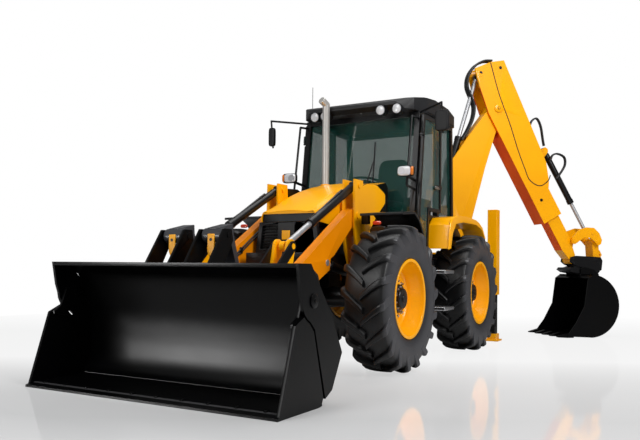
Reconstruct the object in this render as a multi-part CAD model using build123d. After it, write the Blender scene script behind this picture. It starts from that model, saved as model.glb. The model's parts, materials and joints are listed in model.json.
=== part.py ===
from build123d import *
import os
from math import atan2, cos, degrees, hypot, pi, radians, sin

# Backhoe loader with four equal steered wheels.
# Millimetres, +Z up.  While it is modelled, the origin is on the ground below the middle of the rear
# axle, +X points forward and +Y to the machine's left.  export_nodes() then moves the whole machine by
# one offset, so that the written origin is on the ground at the middle of its plan.
PLAN_MIDDLE_X = 543.0
PLAN_MIDDLE_Y = 579.5

# ---- driving dimensions -------------------------------------------------------------------------
WHEELBASE = 2220.0
TYRE_RADIUS = 705.0
TYRE_WIDTH = 440.0
TYRE_Y = 955.0                 # middle of the tyre from the machine's centre plane
RIM_RADIUS = 381.0
TYRE_SIDES = 18                # flats round a tyre's carcass
TYRE_LUGS = 18                 # in each of the two rows of a tyre
LUG_TOP = 695.0                # radius of a lug's flat top
LUG_WIDTH = 54.0
LUG_SLANT = 38.0               # degrees between a lug and the axle
KINGPIN_Y = 690.0
FIT = 0.3                      # gap between curved faces on different bodies
RUN = 6.0                      # gap between sliding or turning plates

RAIL_Y = (240.0, 320.0)        # inner and outer face of a chassis rail
RAIL_Z = (930.0, 1130.0)
RAIL_FRONT_X = 2790.0
REAR_FRAME_X = -1020.0

ARM_Y = 455.0                  # middle of a loader arm
ARM_WIDTH = 90.0
ARM_PIVOT = (2120.0, 1520.0)   # x, z of the pins of the loader
TILT_BASE = (2100.0, 1820.0)
LIFT_BASE = (1860.0, 880.0)
LIFT_EYE = (2695.0, 1038.0)
CROSS_TUBE = (3090.0, 800.0)
SHOVEL_PIN = (3850.0, 300.0)
LEVER_PIN = (3520.0, 600.0)
LEVER_TOP = (3380.0, 1170.0)
SHOVEL_UPPER_PIN = (SHOVEL_PIN[0] + LEVER_TOP[0] - LEVER_PIN[0], SHOVEL_PIN[1] + LEVER_TOP[1] - LEVER_PIN[1])
PLATE = 25.0                   # thickness of lever and lug plates

SHOVEL_HALF = 1220.0
SHOVEL_SIDE = 25.0
JAW_PIN = (4180.0, 760.0)
JAW_ARC = (150.0, 165.0)       # radii about the jaw pin where cheek and jaw part
FORK_PIN = (3985.0, 1240.0)
FORK_Y = 200.0
FORK_HEEL = (3860.0, 1300.0)
FORK_TIP = (3566.0, 449.0)

CAB_HALF = 740.0

KINGPOST_X = -1330.0
SLEW_REST = 48.0               # the backhoe is slewed this far to the machine's left
LEG_X = -1285.0
LEG_Y = 940.0
LEG_TOP = 1820.0
FOOT = (110.0, 95.0)           # half length and half width of a stabiliser's foot plate

# pins of the backhoe: distance from the kingpost in the boom's plane, and height
BOOM_FOOT = (270.0, 750.0)
BOOM_RAM_BASE = (118.0, 930.0)
BOOM_RAM_EYE = (400.0, 1700.0)
DIPPER_PIN = (985.0, 3380.0)
DIPPER_RAM_BASE = (90.0, 1850.0)
DIPPER_RAM_EYE = (700.0, 3860.0)
BUCKET_RAM_BASE = (1815.0, 2810.0)
BUCKET_RAM_EYE = (2545.0, 1560.0)
TIP_LEVER_PIN = (2240.0, 1440.0)
TIP_LINK_TOP = (2635.0, 1437.0)
BUCKET_PIN = (2265.0, 1145.0)
TIP_LINK_FOOT = (BUCKET_PIN[0] + TIP_LINK_TOP[0] - TIP_LEVER_PIN[0], BUCKET_PIN[1] + TIP_LINK_TOP[1] - TIP_LEVER_PIN[1])
LIFTING_EYE = (2755.0, 1232.0)
BOOM_HALF = 110.0
CHEEK = (116.0, 146.0)         # inner and outer face of a kingpost cheek
DIPPER_HALF = 150.0
INNER_HALF = 105.0
BUCKET_HALF = 455.0


# ---- small shapes ---------------------------------------------------------------------------------
def block(x, y, z):
    """Box between two limits along each axis."""
    size = [b - a for a, b in (x, y, z)]
    middle = [(a + b) / 2 for a, b in (x, y, z)]
    return Pos(*middle) * Box(*size)


def plate(outline, y0, y1):
    """Flat plate: an outline of (x, z) points, carried from y0 to y1."""
    edge = Polyline(*[(x, y0, z) for x, z in outline], close=True)
    return extrude(make_face(edge), amount=y1 - y0, dir=(0, 1, 0))


def round_plate(outline, radius, y0, y1):
    """Plate with all its corners rounded to one radius."""
    edge = FilletPolyline(*[(x, y0, z) for x, z in outline], radius=radius, close=True)
    return extrude(make_face(edge), amount=y1 - y0, dir=(0, 1, 0))


def deck(outline, z0, z1):
    """Flat plate: an outline of (x, y) points, carried from z0 to z1."""
    edge = Polyline(*[(x, y, z0) for x, y in outline], close=True)
    return extrude(make_face(edge), amount=z1 - z0, dir=(0, 0, 1))


def rod(a, b, radius):
    """Round bar between two points."""
    a, b = Vector(*a), Vector(*b)
    along = b - a
    return Plane(origin=a, z_dir=along) * Cylinder(radius, along.length, align=(Align.CENTER,) * 2 + (Align.MIN,))


def pin(at, radius, y0, y1):
    """Round bar along Y at (x, z)."""
    return rod((at[0], y0, at[1]), (at[0], y1, at[1]), radius)


def both_sides(shape):
    """A shape and its mirror image on the other side of the centre plane."""
    return [shape, mirror(shape, about=Plane.XZ)]


def fused(*shapes):
    """One solid from shapes that touch or overlap."""
    flat = []
    for shape in shapes:
        flat += list(shape) if isinstance(shape, (list, tuple)) else [shape]
    return flat[0].fuse(*flat[1:]) if len(flat) > 1 else flat[0]


def bar_plate(a, b, half, y0, y1):
    """Flat bar with round ends about two pins at (x, z)."""
    ax, az = a
    bx, bz = b
    length = hypot(bx - ax, bz - az)
    nx, nz = -(bz - az) / length * half, (bx - ax) / length * half
    body = plate([(ax + nx, az + nz), (bx + nx, bz + nz), (bx - nx, bz - nz), (ax - nx, az - nz)], y0, y1)
    return fused(body, pin(a, half, y0, y1), pin(b, half, y0, y1))


def ram(base, eye, y, sizes):
    """Hydraulic cylinder between two pins at (x, z): its tube and its rod.

    sizes: how far the tube's gland and the piston lie from the base pin, the radii of tube and rod,
    the width of both eyes, the pins' radius, and the length of the narrow neck beside the base eye.
    """
    gland, piston, tube_r, rod_r, width, pin_r, neck = sizes
    angle = degrees(atan2(eye[1] - base[1], eye[0] - base[0]))
    length = hypot(eye[0] - base[0], eye[1] - base[1])
    place = Pos(base[0], y, base[1]) * Rot(0, -angle, 0)
    tube = rod((neck, 0, 0), (gland, 0, 0), tube_r) + rod((gland - 60, 0, 0), (gland, 0, 0), tube_r + 5)
    tube += block((pin_r, neck + 10), (-width / 2, width / 2), (-pin_r, pin_r))
    tube += pin((0, 0), pin_r * 1.8, -width / 2, width / 2)
    tube -= rod((neck + 25, 0, 0), (gland + 1, 0, 0), rod_r + FIT)
    tube -= pin((0, 0), pin_r + FIT, -width, width)
    slider = rod((piston, 0, 0), (length, 0, 0), rod_r) + pin((length, 0), pin_r * 1.8, -width / 2, width / 2)
    return place * tube, place * slider


def backhoe_place():
    """Where the boom's plane stands: X outward from the kingpost, Y across, Z up."""
    return Pos(KINGPOST_X, 0, 0) * Rot(0, 0, 180 - SLEW_REST)


# ---- wheels and axles -------------------------------------------------------------------------------
def flat_ring(profile, sides):
    """Ring about Y with flat faces, its profile of (radius, y) points kept outside that radius."""
    grow = 1 / cos(pi / sides)
    turns = [2 * pi * i / sides for i in range(sides + 1)]
    ribs = [[(r * grow * cos(a), y, r * grow * sin(a)) for r, y in profile + profile[:1]] for a in turns]
    faces = []
    for here, there in zip(ribs, ribs[1:]):
        for p, q, r, t in zip(here, here[1:], there[1:], there):
            faces.append(make_face(Polyline(p, q, r, t, close=True)))
    return Solid(Shell(faces))


def lug():
    """One lug at the top of a tyre, from the middle of the tread to its shoulder, slanted back."""
    stretch = 1 / cos(radians(LUG_SLANT))
    edge = [(-10, 610), (-10, LUG_TOP), (148, LUG_TOP), (197, 630), (165, 560)]  # y, radius
    outline = Polyline(*[(0, y * stretch, r) for y, r in edge], close=True)
    bar = extrude(make_face(outline), amount=LUG_WIDTH / 2, dir=(1, 0, 0), both=True)
    reach = TYRE_WIDTH / 4 * (stretch ** 2 - 1) ** 0.5
    return Pos(reach, 0, 0) * Rot(0, 0, LUG_SLANT) * bar


def tyre_form():
    """Tyre about the origin: a carcass seated between the rim's flanges, and two rows of lugs."""
    half = TYRE_WIDTH / 2
    side = [(RIM_RADIUS - 20, 165.5), (RIM_RADIUS + 0.5, 180.5), (RIM_RADIUS + 100, half - 5),
            (TYRE_RADIUS - 50, half - 50)]  # radius, distance from the middle
    carcass = flat_ring(side + [(r, -y) for r, y in reversed(side)], TYRE_SIDES)
    pitch = 360 / TYRE_LUGS
    right = lug()
    left = Rot(0, pitch / 2, 0) * mirror(right, about=Plane.XZ)
    lugs = [Rot(0, i * pitch, 0) * one for i in range(TYRE_LUGS) for one in (right, left)]
    return carcass.fuse(*lugs)


TYRE = tyre_form()


def tyre(x, side):
    """The tyre where it stands."""
    return Pos(x, side * TYRE_Y, TYRE_RADIUS) * TYRE


def rim(x, side):
    """Rim with its two flanges, the deep dished disc and the hub."""
    half = TYRE_WIDTH / 2
    well = RIM_RADIUS - 20 - FIT
    barrel = [(RIM_RADIUS, -half + 30), (RIM_RADIUS, -half + 39), (well, -half + 39 + 15), (well, half - 39 - 15),
              (RIM_RADIUS, half - 39), (RIM_RADIUS, half - 30), (well - 14, half - 30), (well - 14, -half + 30)]
    outline = Polyline(*[(0, y, r) for r, y in barrel], close=True)
    ring = revolve(make_face(outline), axis=Axis.Y)
    disc = rod((0, -20, 0), (0, 0, 0), well - 4)
    hub = rod((0, -135, 0), (0, 95, 0), 125) + rod((0, 95, 0), (0, 130, 0), 85)
    wheel = ring + disc + hub
    if side < 0:
        wheel = mirror(wheel, about=Plane.XZ)
    return Pos(x, side * TYRE_Y, TYRE_RADIUS) * wheel


HUB_INNER_Y = TYRE_Y - 135.0


def knuckle(x, side):
    """Steered housing: an upright around the kingpin and the hub's carrier."""
    z = TYRE_RADIUS
    post = rod((x, KINGPIN_Y, z - 170), (x, KINGPIN_Y, z + 170), 68)
    carrier = rod((x, KINGPIN_Y, z), (x, HUB_INNER_Y - FIT, z), 105)
    steer_arm = block((x - 190, x), (KINGPIN_Y - 20, KINGPIN_Y + 20), (z - 60, z - 20))
    body = fused(post, carrier, steer_arm)
    return body if side > 0 else mirror(body, about=Plane.XZ)


def axle(x):
    """One axle: centre housing, two tubes, and the yokes that hold the kingpins."""
    z = TYRE_RADIUS
    parts = [rod((x, -540, z), (x, 540, z), 100), rod((x, -150, z), (x, 150, z), 190),
             block((x - 120, x + 120), (-320, 320), (z + 90, RAIL_Z[0]))]
    for s in (-1, 1):
        parts.append(block((x - 75, x + 75), tuple(sorted((s * 530, s * 600))), (z - 225, z + 225)))
        for low in (z - 225, z + 170 + FIT):
            parts.append(block((x - 60, x + 60), tuple(sorted((s * 590, s * 755))), (low, low + 55 - FIT)))
    return fused(parts)


# ---- chassis ----------------------------------------------------------------------------------------
def chassis():
    """Rails, nose, loader towers, rear frame and the stabilisers' outer legs."""
    rails = both_sides(block((REAR_FRAME_X, RAIL_FRONT_X), RAIL_Y, RAIL_Z))
    rails += [block((x, x + 80), (-RAIL_Y[0], RAIL_Y[0]), RAIL_Z) for x in (1150, 2560)]
    nose = block((2640, 2850), (-RAIL_Y[1], RAIL_Y[1]), (500, RAIL_Z[1]))
    tongue = block((2850, 2950), (-70, 70), (560, 595)) - rod((2900, 0, 500), (2900, 0, 700), 17)
    frame_z = (500, 1200)
    frame = [block((REAR_FRAME_X - 40, REAR_FRAME_X), (-LEG_Y + 60, LEG_Y - 60), frame_z)]
    for z in ((500, 610), (1090, 1200)):
        frame.append(block((REAR_FRAME_X - 100, REAR_FRAME_X - 40), (-LEG_Y + 60, LEG_Y - 60), z))
    for s in (-1, 1):
        side = tuple(sorted((s * (LEG_Y - 65), s * (LEG_Y + 65))))
        leg = block((LEG_X - 75, LEG_X + 75), side, (640, LEG_TOP))
        inner = tuple(sorted((s * (LEG_Y - 51), s * (LEG_Y + 51))))
        leg -= block((LEG_X - 61, LEG_X + 61), inner, (600, LEG_TOP - 20))
        frame.append(leg)
        frame.append(block((LEG_X + 75, REAR_FRAME_X), tuple(sorted((s * 860, s * 900))), (640, 1250)))
    return fused(rails, nose, tongue, frame)


TOWER_INNER = (ARM_Y - ARM_WIDTH / 2 - RUN - 20, ARM_Y - ARM_WIDTH / 2 - RUN)
TOWER_OUTER = (ARM_Y + ARM_WIDTH / 2 + RUN, ARM_Y + ARM_WIDTH / 2 + RUN + 20)


def towers():
    """Loader towers: two plates on each side that hold the pins of the arm and of both rams."""
    outline = [(2010, 1880), (2190, 1880), (2200, 1450), (2150, 1180), (2060, 980), (1960, 800), (1800, 790), (1768, 860),
               (1775, 1000), (1860, 1180), (1980, 1450)]
    across = (TOWER_INNER[0] + 5, TOWER_OUTER[1] - 5)
    parts = [plate(outline, *TOWER_INNER), plate(outline, *TOWER_OUTER)]
    parts.append(block((1800, 2060), (RAIL_Y[1], TOWER_INNER[1]), (960, 1000)))
    parts.append(block((1985, 2005), across, (1330, 1500)))
    parts.append(block((1774, 1794), across, (870, 990)))
    for at, radius in ((ARM_PIVOT, 35), (TILT_BASE, 25), (LIFT_BASE, 30)):
        parts.append(pin(at, radius, TOWER_INNER[0] - 10, TOWER_OUTER[1] + 10))
    return both_sides(fused(parts))


# ---- loader -------------------------------------------------------------------------------------------
def loader_arms():
    """Two cranked arms with eyes at the pins, joined by a cross tube."""
    y0, y1 = ARM_Y - ARM_WIDTH / 2, ARM_Y + ARM_WIDTH / 2
    outline = [(2050, 1555), (2130, 1595), (2260, 1560), (3180, 1010), (3300, 900), (3905, 340), (3905, 262),
               (3830, 235), (3760, 260), (3080, 770), (2800, 900), (2650, 970), (2630, 1078), (2560, 1112), (2200, 1395),
               (2090, 1450)]
    arm = plate(outline, y0, y1) + pin(ARM_PIVOT, 74, y0, y1) + pin(SHOVEL_PIN, 66, y0, y1)
    for at, radius in ((ARM_PIVOT, 35), (SHOVEL_PIN, 32), (LEVER_PIN, 28)):
        arm -= pin(at, radius + FIT, y0 - 1, y1 + 1)
    pocket = [(2150, 1150), (2190, 1418), (2640, 1125), (2800, 1110), (2800, 700), (2300, 700)]
    arm -= plate(pocket, ARM_Y - 33, ARM_Y + 33)
    arm += [pin(LIFT_EYE, 30, y0 - 5, ARM_Y - 33), pin(LIFT_EYE, 30, ARM_Y + 33, y1 + 5)]
    cross = rod((CROSS_TUBE[0], -y0 - 1, CROSS_TUBE[1]), (CROSS_TUBE[0], y0 + 1, CROSS_TUBE[1]), 60)
    return fused(both_sides(arm), cross)


def tilt_levers():
    """Pairs of lever plates astride each arm, with the pins of arm and link."""
    parts = []
    inner = (ARM_Y - ARM_WIDTH / 2 - RUN - PLATE, ARM_Y - ARM_WIDTH / 2 - RUN)
    outer = (ARM_Y + ARM_WIDTH / 2 + RUN, ARM_Y + ARM_WIDTH / 2 + RUN + PLATE)
    for y in (inner, outer):
        parts.append(bar_plate(LEVER_PIN, LEVER_TOP, 62, *y))
    parts.append(pin(LEVER_PIN, 28, inner[0] - 2, outer[1] + 2))
    parts += [pin(LEVER_TOP, 25, ARM_Y + a, ARM_Y + b) for a, b in ((-99, -55), (55, 99))]
    return both_sides(fused(parts))


def tilt_links():
    """Pairs of bars from the lever's top pin to the shovel's upper pin."""
    parts = []
    for y in ((ARM_Y - 97, ARM_Y - 79), (ARM_Y + 79, ARM_Y + 97)):
        bar = bar_plate(LEVER_TOP, SHOVEL_UPPER_PIN, 45, *y)
        bar -= pin(LEVER_TOP, 25 + FIT, y[0] - 1, y[1] + 1)
        bar -= pin(SHOVEL_UPPER_PIN, 25 + FIT, y[0] - 1, y[1] + 1)
        parts += both_sides(bar)
    return parts


def jaw_arc(radius, start, end):
    """Points on an arc about the jaw pin, from one angle to the other in four steps."""
    turns = [radians(start + (end - start) * i / 4) for i in range(5)]
    return [(JAW_PIN[0] + radius * cos(a), JAW_PIN[1] + radius * sin(a)) for a in turns]


def shovel_back():
    """Back blade of the four-in-one shovel: curved back, side cheeks, top rail and the lugs behind."""
    inside = SHOVEL_HALF - SHOVEL_SIDE
    back = [(4390, 1020), (4220, 1020), (4080, 940), (3965, 640), (3930, 400), (3928, 120), (4000, 50), (4030, 62),
            (3955, 130), (3955, 400), (3992, 630), (4110, 905), (4240, 985), (4385, 990)]
    parts = [plate(back, -inside, inside)]
    cheek = [(4390, 1020), (4220, 1020), (3910, 640), (3750, 360), (3900, 100), (4000, 50), (4160, 560)]
    cheek += jaw_arc(JAW_ARC[0], -72, 0) + [(4355, 830)]
    parts += both_sides(plate(cheek, inside, SHOVEL_HALF))
    for y0 in (ARM_Y - 100 - PLATE, ARM_Y + 100):
        lug = [(3790, 260), (3840, 225), (3935, 240), (3945, 400), (4000, 640), (4080, 860), (4080, 925), (3960, 930),
               (3640, 965), (3600, 900), (3640, 850), (3790, 700), (3800, 450)]
        parts += both_sides(plate(lug, y0, y0 + PLATE))
    parts += both_sides(pin(SHOVEL_PIN, 32, ARM_Y - 131, ARM_Y + 131))
    for y in ((ARM_Y - 131, ARM_Y - 79), (ARM_Y + 79, ARM_Y + 131)):
        parts += both_sides(pin(SHOVEL_UPPER_PIN, 25, *y))
    parts += both_sides(pin(JAW_PIN, 22, inside - 38, inside + 5))
    for s in (-1, 1):
        ear = [(4085, 935), (4225, 1015), (4040, 1290), (3950, 1290), (3930, 1200)]
        for y in (FORK_Y - 130, FORK_Y + 105):
            parts.append(plate(ear, *sorted((s * y, s * (y + 25)))))
        parts.append(pin(FORK_PIN, 25, *sorted((s * (FORK_Y - 135), s * (FORK_Y + 135)))))
    return fused(parts)


def clam_jaw():
    """Clam of the shovel: floor with its cutting edge, and two side plates hung from the jaw pins."""
    inside = SHOVEL_HALF - SHOVEL_SIDE
    floor = [(4630, 0), (4630, 18), (4540, 42), (4060, 56), (4045, 8), (4100, 0)]
    parts = [plate(floor, -SHOVEL_HALF, SHOVEL_HALF)]
    side = [(4610, 10), (4420, 600)] + jaw_arc(JAW_ARC[1], -40, -70) + [(4175, 545), (4030, 60), (4060, 8)]
    parts += both_sides(plate(side, inside, SHOVEL_HALF))
    arm = [(4330, 650), (4275, 800), (4180, 820), (4120, 780), (4130, 700), (4235, 600), (4400, 580), (4400, 605)]
    parts += both_sides(plate(arm, inside - 31, inside - 6) - pin(JAW_PIN, 22 + FIT, inside - 40, inside))
    parts += both_sides(plate([(4240, 560), (4420, 595), (4312, 650), (4262, 612)], inside - 10, inside + 1))
    return fused(parts)


def forks():
    """Flip-over forks, folded back behind the shovel: hub, heel and tine of each."""
    parts = []
    heel, tip = FORK_HEEL, FORK_TIP
    for s in (-1, 1):
        y = sorted((s * (FORK_Y - 95), s * (FORK_Y + 95)))
        mid = sorted((s * (FORK_Y - 60), s * (FORK_Y + 60)))
        hub = pin(FORK_PIN, 60, *y)
        shank = plate([(heel[0] - 25, heel[1] - 30), (heel[0] - 20, heel[1] + 40), (4020, 1300), (3970, 1185)], *mid)
        tine = plate([(heel[0] - 25, heel[1] - 30), (heel[0] + 30, heel[1] - 45), (tip[0] + 12, tip[1] - 4),
                      (tip[0] - 12, tip[1] + 4)], *mid)
        fork = fused(hub, shank, tine) - pin(FORK_PIN, 25 + FIT, y[0] - 1, y[1] + 1)
        parts.append(fork)
    return parts


# ---- body -----------------------------------------------------------------------------------------------
BONNET_HINGE = (1488.0, 1900.0)
STACK_FOOT = (1320.0, -300.0, 1955.0)


def bonnet_section(x, half, crest, shoulder, low):
    """Outline across the bonnet at one station."""
    return make_face(Polyline((x, -half, low), (x, -half, shoulder), (x, -half + 90, crest - 12), (x, 0, crest),
                              (x, half - 90, crest - 12), (x, half, shoulder), (x, half, low), close=True))


def bonnet():
    """Engine cover: sloping top with two sides, open below and behind, and its hinge sleeves."""
    sections = [  # x, half width at the shoulder, crest height, shoulder height, lower edge
        (2600, 325, 1560, 1520, 1442), (2100, 365, 1780, 1690, 1380), (1508, 378, 1935, 1850, 1330)]
    wall = 14
    outer = loft([bonnet_section(*row) for row in sections], ruled=True)
    inner = loft([bonnet_section(x, half - wall, crest - wall, shoulder - wall, low - 80)
                  for x, half, crest, shoulder, low in sections], ruled=True)
    shell = outer - Pos(-wall, 0, 0) * inner
    hx, hz = BONNET_HINGE
    for y in (-250, 190):
        shell += pin(BONNET_HINGE, 18, y, y + 60)
        shell += block((hx, 1530), (y, y + 60), (hz, hz + 18))
        shell -= pin(BONNET_HINGE, 9 + FIT, y - 1, y + 61)
    return shell


GRILLE_BARS = 7


def grille():
    """Grille in front of the radiator: a frame standing on the rails, its bars and the middle panel."""
    low, high = RAIL_Z[1], 1436
    face = [(2560, -325, high), (2560, 325, high), (2560, 372, low), (2560, -372, low)]
    shell = extrude(make_face(Polyline(*face, close=True)), amount=60, dir=(1, 0, 0))
    mouth = [(2580, -285, high - 34), (2580, 285, high - 34), (2580, 318, low + 40), (2580, -318, low + 40)]
    shell -= extrude(make_face(Polyline(*mouth, close=True)), amount=50, dir=(1, 0, 0))
    step = (high - low - 74) / (GRILLE_BARS + 1)
    bars = [block((2570, 2604), (-300, 300), (low + 34 + step * i, low + 42 + step * i))
            for i in range(1, GRILLE_BARS + 1)]
    return fused(shell, bars, block((2570, 2634), (-95, 95), (low + 6, high - 6)))


def cowl():
    """Fixed rear part of the bonnet with its bulkhead, hinge pin and the side panels up to the towers."""
    top = [(1466, 1905), (1250, 1950), (1180, 1900), (1180, 1500), (1466, 1500)]
    body = plate(top, -430, 430) - block((1215, 1500), (-400, 400), (1400, 1870))
    bulkhead = block((1190, 1215), (-400, 400), (RAIL_Z[1], 1600))
    outline = [(1979, 1835), (1880, 1862), (1640, 1875), (1420, 1800), (1420, 1700), (1640, 1540), (1900, 1290),
               (1979, 1290)]
    side = round_plate(outline, 45, TOWER_OUTER[0] - 26, TOWER_OUTER[0])
    bracket = block((1350, 1440), (420, TOWER_OUTER[0] - 20), (1600, 1800))
    pad = rod((STACK_FOOT[0], STACK_FOOT[1], 1880), STACK_FOOT, 58)
    hinge = [pin(BONNET_HINGE, 9, -280, 280)]
    hinge += [block((1460, BONNET_HINGE[0] + 12), (y, y + 25), (1870, 1903)) for y in (-290, 265)]
    return fused(body, bulkhead, both_sides(side), both_sides(bracket), pad, hinge)


def engine():
    """Engine and gearbox as one plain block, held between the rails."""
    body = block((1350, 2500), (-225, 225), (RAIL_Z[0] + 5, 1400)) + block((1350, 2000), (-200, 200), (1400, 1540))
    mounts = [block((x, x + 90), (-RAIL_Y[0], RAIL_Y[0]), (960, 1050)) for x in (1450, 2380)]
    return fused(body, mounts)


FENDER_Y = 1060.0                 # outer edge of a front mudguard


def front_fenders():
    """Black mudguards over the front wheels, on brackets from the towers."""
    parts = []
    x, z = WHEELBASE, TYRE_RADIUS
    outline = [(x + 10, z + 800), (x - 290, z + 832), (x - 400, z + 775), (x - 480, z + 690), (x - 570, z + 560),
               (x - 600, z + 480), (x - 622, z + 485), (x - 592, z + 570), (x - 500, z + 705), (x - 412, z + 797),
               (x - 295, z + 857), (x + 10, z + 825)]
    for s in (-1, 1):
        guard = plate(outline, *sorted((s * 600, s * FENDER_Y)))
        bracket = block((x - 215, x - 175), tuple(sorted((s * TOWER_OUTER[1], s * 610))), (z + 730, z + 836))
        parts.append(fused(guard, bracket))
    return parts


# ---- cab --------------------------------------------------------------------------------------------------
PILLAR = 60.0
CAB_FRONT = (1170.0, 1010.0)   # x of the windscreen's foot and head
CAB_FOOT_Z = 1500.0
CAB_HEAD_Z = 2780.0
DECK_Z = 1560.0                # top of the rear body's deck, on which the cab stands
FLOOR_Z = 1160.0               # floor of the footwell
DOOR_REAR_X = 430.0
STEP_X = 790.0                 # the footwell begins here, in front of the rear wheel
CAB_REAR_X = -160.0
GLASS = 6.0
LAMP_STALK = (1400.0, 740.0, 2010.0)
LAMP_SIZE = (60.0, 190.0, 115.0)   # depth, width and height of a headlamp
ROOF_LAMP_X = 1268.0
ROOF_LAMP_Y = (-480.0, -345.0, 370.0, 570.0)
MIRROR_ARM = {1: (1190.0, 1060.0), -1: (1190.0, 1150.0)}   # x, y of the arm's end on each side


DOOR_AXIS = (1128.0, CAB_HALF + 35.0, 1500.0)
DOOR_AXIS_SLOPE = -145.0 / 1240.0


def door_axis(side, z):
    """Point of a door's hinge axis, which leans back beside the front post."""
    x, y, z0 = DOOR_AXIS
    return (x + DOOR_AXIS_SLOPE * (z - z0), side * y, z)


def screen_x(z):
    """Front face of the front posts at one height."""
    return CAB_FRONT[0] + (CAB_FRONT[1] - CAB_FRONT[0]) * (z - CAB_FOOT_Z) / (CAB_HEAD_Z - CAB_FOOT_Z)


def post(x0, x1, y, z0, z1):
    """Upright post whose front face runs from x0 at its foot to x1 at its head."""
    return plate([(x0 - PILLAR, z0), (x0, z0), (x1, z1), (x1 - PILLAR, z1)], y, y + PILLAR)


def cab_frame():
    """Posts, sills and headers of the cab, its floors, and the arms of lamps and mirrors."""
    inner = CAB_HALF - PILLAR
    wide = (-inner - 1, inner + 1)
    parts = []
    for y in (-CAB_HALF, inner):
        parts.append(post(CAB_FRONT[0], CAB_FRONT[1], y, CAB_FOOT_Z, CAB_HEAD_Z))
        parts.append(post(CAB_FRONT[0], CAB_FRONT[0], y, FLOOR_Z - 60, CAB_FOOT_Z))
        parts.append(post(DOOR_REAR_X, DOOR_REAR_X, y, DECK_Z, CAB_HEAD_Z))
        parts.append(post(CAB_REAR_X + PILLAR, CAB_REAR_X + 2 * PILLAR, y, DECK_Z, CAB_HEAD_Z))
        parts.append(block((CAB_REAR_X + PILLAR, CAB_FRONT[1]), (y, y + PILLAR), (CAB_HEAD_Z - 50, CAB_HEAD_Z)))
        parts.append(block((CAB_REAR_X, STEP_X), (y, y + PILLAR), (DECK_Z, DECK_Z + 60)))
        parts.append(block((STEP_X, CAB_FRONT[0]), (y, y + PILLAR), (FLOOR_Z - 60, FLOOR_Z)))
    for x, z in (((CAB_FRONT[1] - PILLAR, CAB_FRONT[1]), (CAB_HEAD_Z - 60, CAB_HEAD_Z)),
                 ((CAB_REAR_X + PILLAR, CAB_REAR_X + 2 * PILLAR), (CAB_HEAD_Z - 60, CAB_HEAD_Z)),
                 ((CAB_REAR_X, CAB_REAR_X + PILLAR), (DECK_Z, DECK_Z + 80)),
                 ((CAB_FRONT[0] - 30, CAB_FRONT[0]), (FLOOR_Z - 25, CAB_FOOT_Z + 40)),
                 ((CAB_REAR_X, STEP_X + 25), (DECK_Z, DECK_Z + 25)),
                 ((STEP_X, STEP_X + 25), (FLOOR_Z - 25, DECK_Z + 25)),
                 ((STEP_X, CAB_FRONT[0]), (FLOOR_Z - 25, FLOOR_Z))):
        parts.append(block(x, wide, z))
    x, y, z = LAMP_STALK
    for s in (-1, 1):
        mx, my = MIRROR_ARM[s]
        parts.append(rod((screen_x(z) - 30, s * (CAB_HALF - 25), z - 30), (x - 30, s * (y - 20), z), 16))
        parts.append(rod((CAB_FRONT[1] - 30, s * (CAB_HALF - 20), 2760), (mx, s * my, 2800), 12))
        parts.append(Pos(mx, s * my, 2800) * Sphere(12))
        parts.append(rod((mx, s * my, 2800), (mx - 45, s * my, 2470), 11))
        for z_hinge in (1600, 2560):
            parts.append(rod(door_axis(s, z_hinge - 60), door_axis(s, z_hinge + 50), 8))
            hx, hy, hz = door_axis(s, z_hinge - 50)
            across = tuple(sorted((s * (CAB_HALF - 5), s * (DOOR_AXIS[1] + 8))))
            parts.append(block((hx - 6, hx + 12), across, (hz - 12, hz + 12)))
        rail = [(screen_x(2700) - 20, 2700), (1200, 2680), (1330, 1900), (screen_x(1880) - 20, 1880)]
        for (x0, z0), (x1, z1) in zip(rail, rail[1:]):
            parts.append(rod((x0, s * (CAB_HALF - 20), z0), (x1, s * (CAB_HALF - 20), z1), 13))
    return fused(parts)


ROOF_HALF = 755.0


def roof():
    """Roof: a crowned shell whose front narrows to a visor, with the work lamps under its lip."""
    z = CAB_HEAD_Z
    outline = [(-190, z), (1190, z), (1262, z + 40), (1270, z + 75), (1180, z + 118), (900, z + 170), (560, z + 205),
               (100, z + 190), (-150, z + 130), (-190, z + 60)]
    plan = [(-190, -ROOF_HALF + 70), (-120, -ROOF_HALF), (820, -ROOF_HALF), (1100, -ROOF_HALF + 50), (1270, -560),
            (1270, 560), (1100, ROOF_HALF - 50), (820, ROOF_HALF), (-120, ROOF_HALF), (-190, ROOF_HALF - 70)]
    shell = plate(outline, -ROOF_HALF, ROOF_HALF) & deck(plan, z - 1, z + 230)
    lamps = [rod((1170, y, z - 4), (ROOF_LAMP_X, y, z - 13), 56) for y in ROOF_LAMP_Y]
    return fused(shell, lamps)


def glazing():
    """Windscreen, rear window and the fixed rear quarter windows."""
    inner = CAB_HALF - PILLAR - FIT
    low, high = CAB_FOOT_Z + 40, CAB_HEAD_Z - 60
    x0, x1 = screen_x(low) - 30, screen_x(high) - 30
    panes = [plate([(x0 - GLASS, low), (x0, low), (x1, high), (x1 - GLASS, high)], -inner, inner)]
    rear = (CAB_REAR_X + 40, CAB_REAR_X + 95)
    panes.append(plate([(rear[0], DECK_Z + 80), (rear[0] + GLASS, DECK_Z + 80), (rear[1] + GLASS, high),
                        (rear[1], high)], -inner, inner))
    for s in (-1, 1):
        y = sorted((s * (CAB_HALF - 33), s * (CAB_HALF - 27)))
        panes.append(plate([(CAB_REAR_X + PILLAR + 4, DECK_Z + 60), (DOOR_REAR_X - PILLAR - FIT, DECK_Z + 60),
                            (DOOR_REAR_X - PILLAR - FIT, CAB_HEAD_Z - 50), (CAB_REAR_X + 2 * PILLAR, CAB_HEAD_Z - 50)], *y))
    return panes


DOOR_THICK = 32.0


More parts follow.
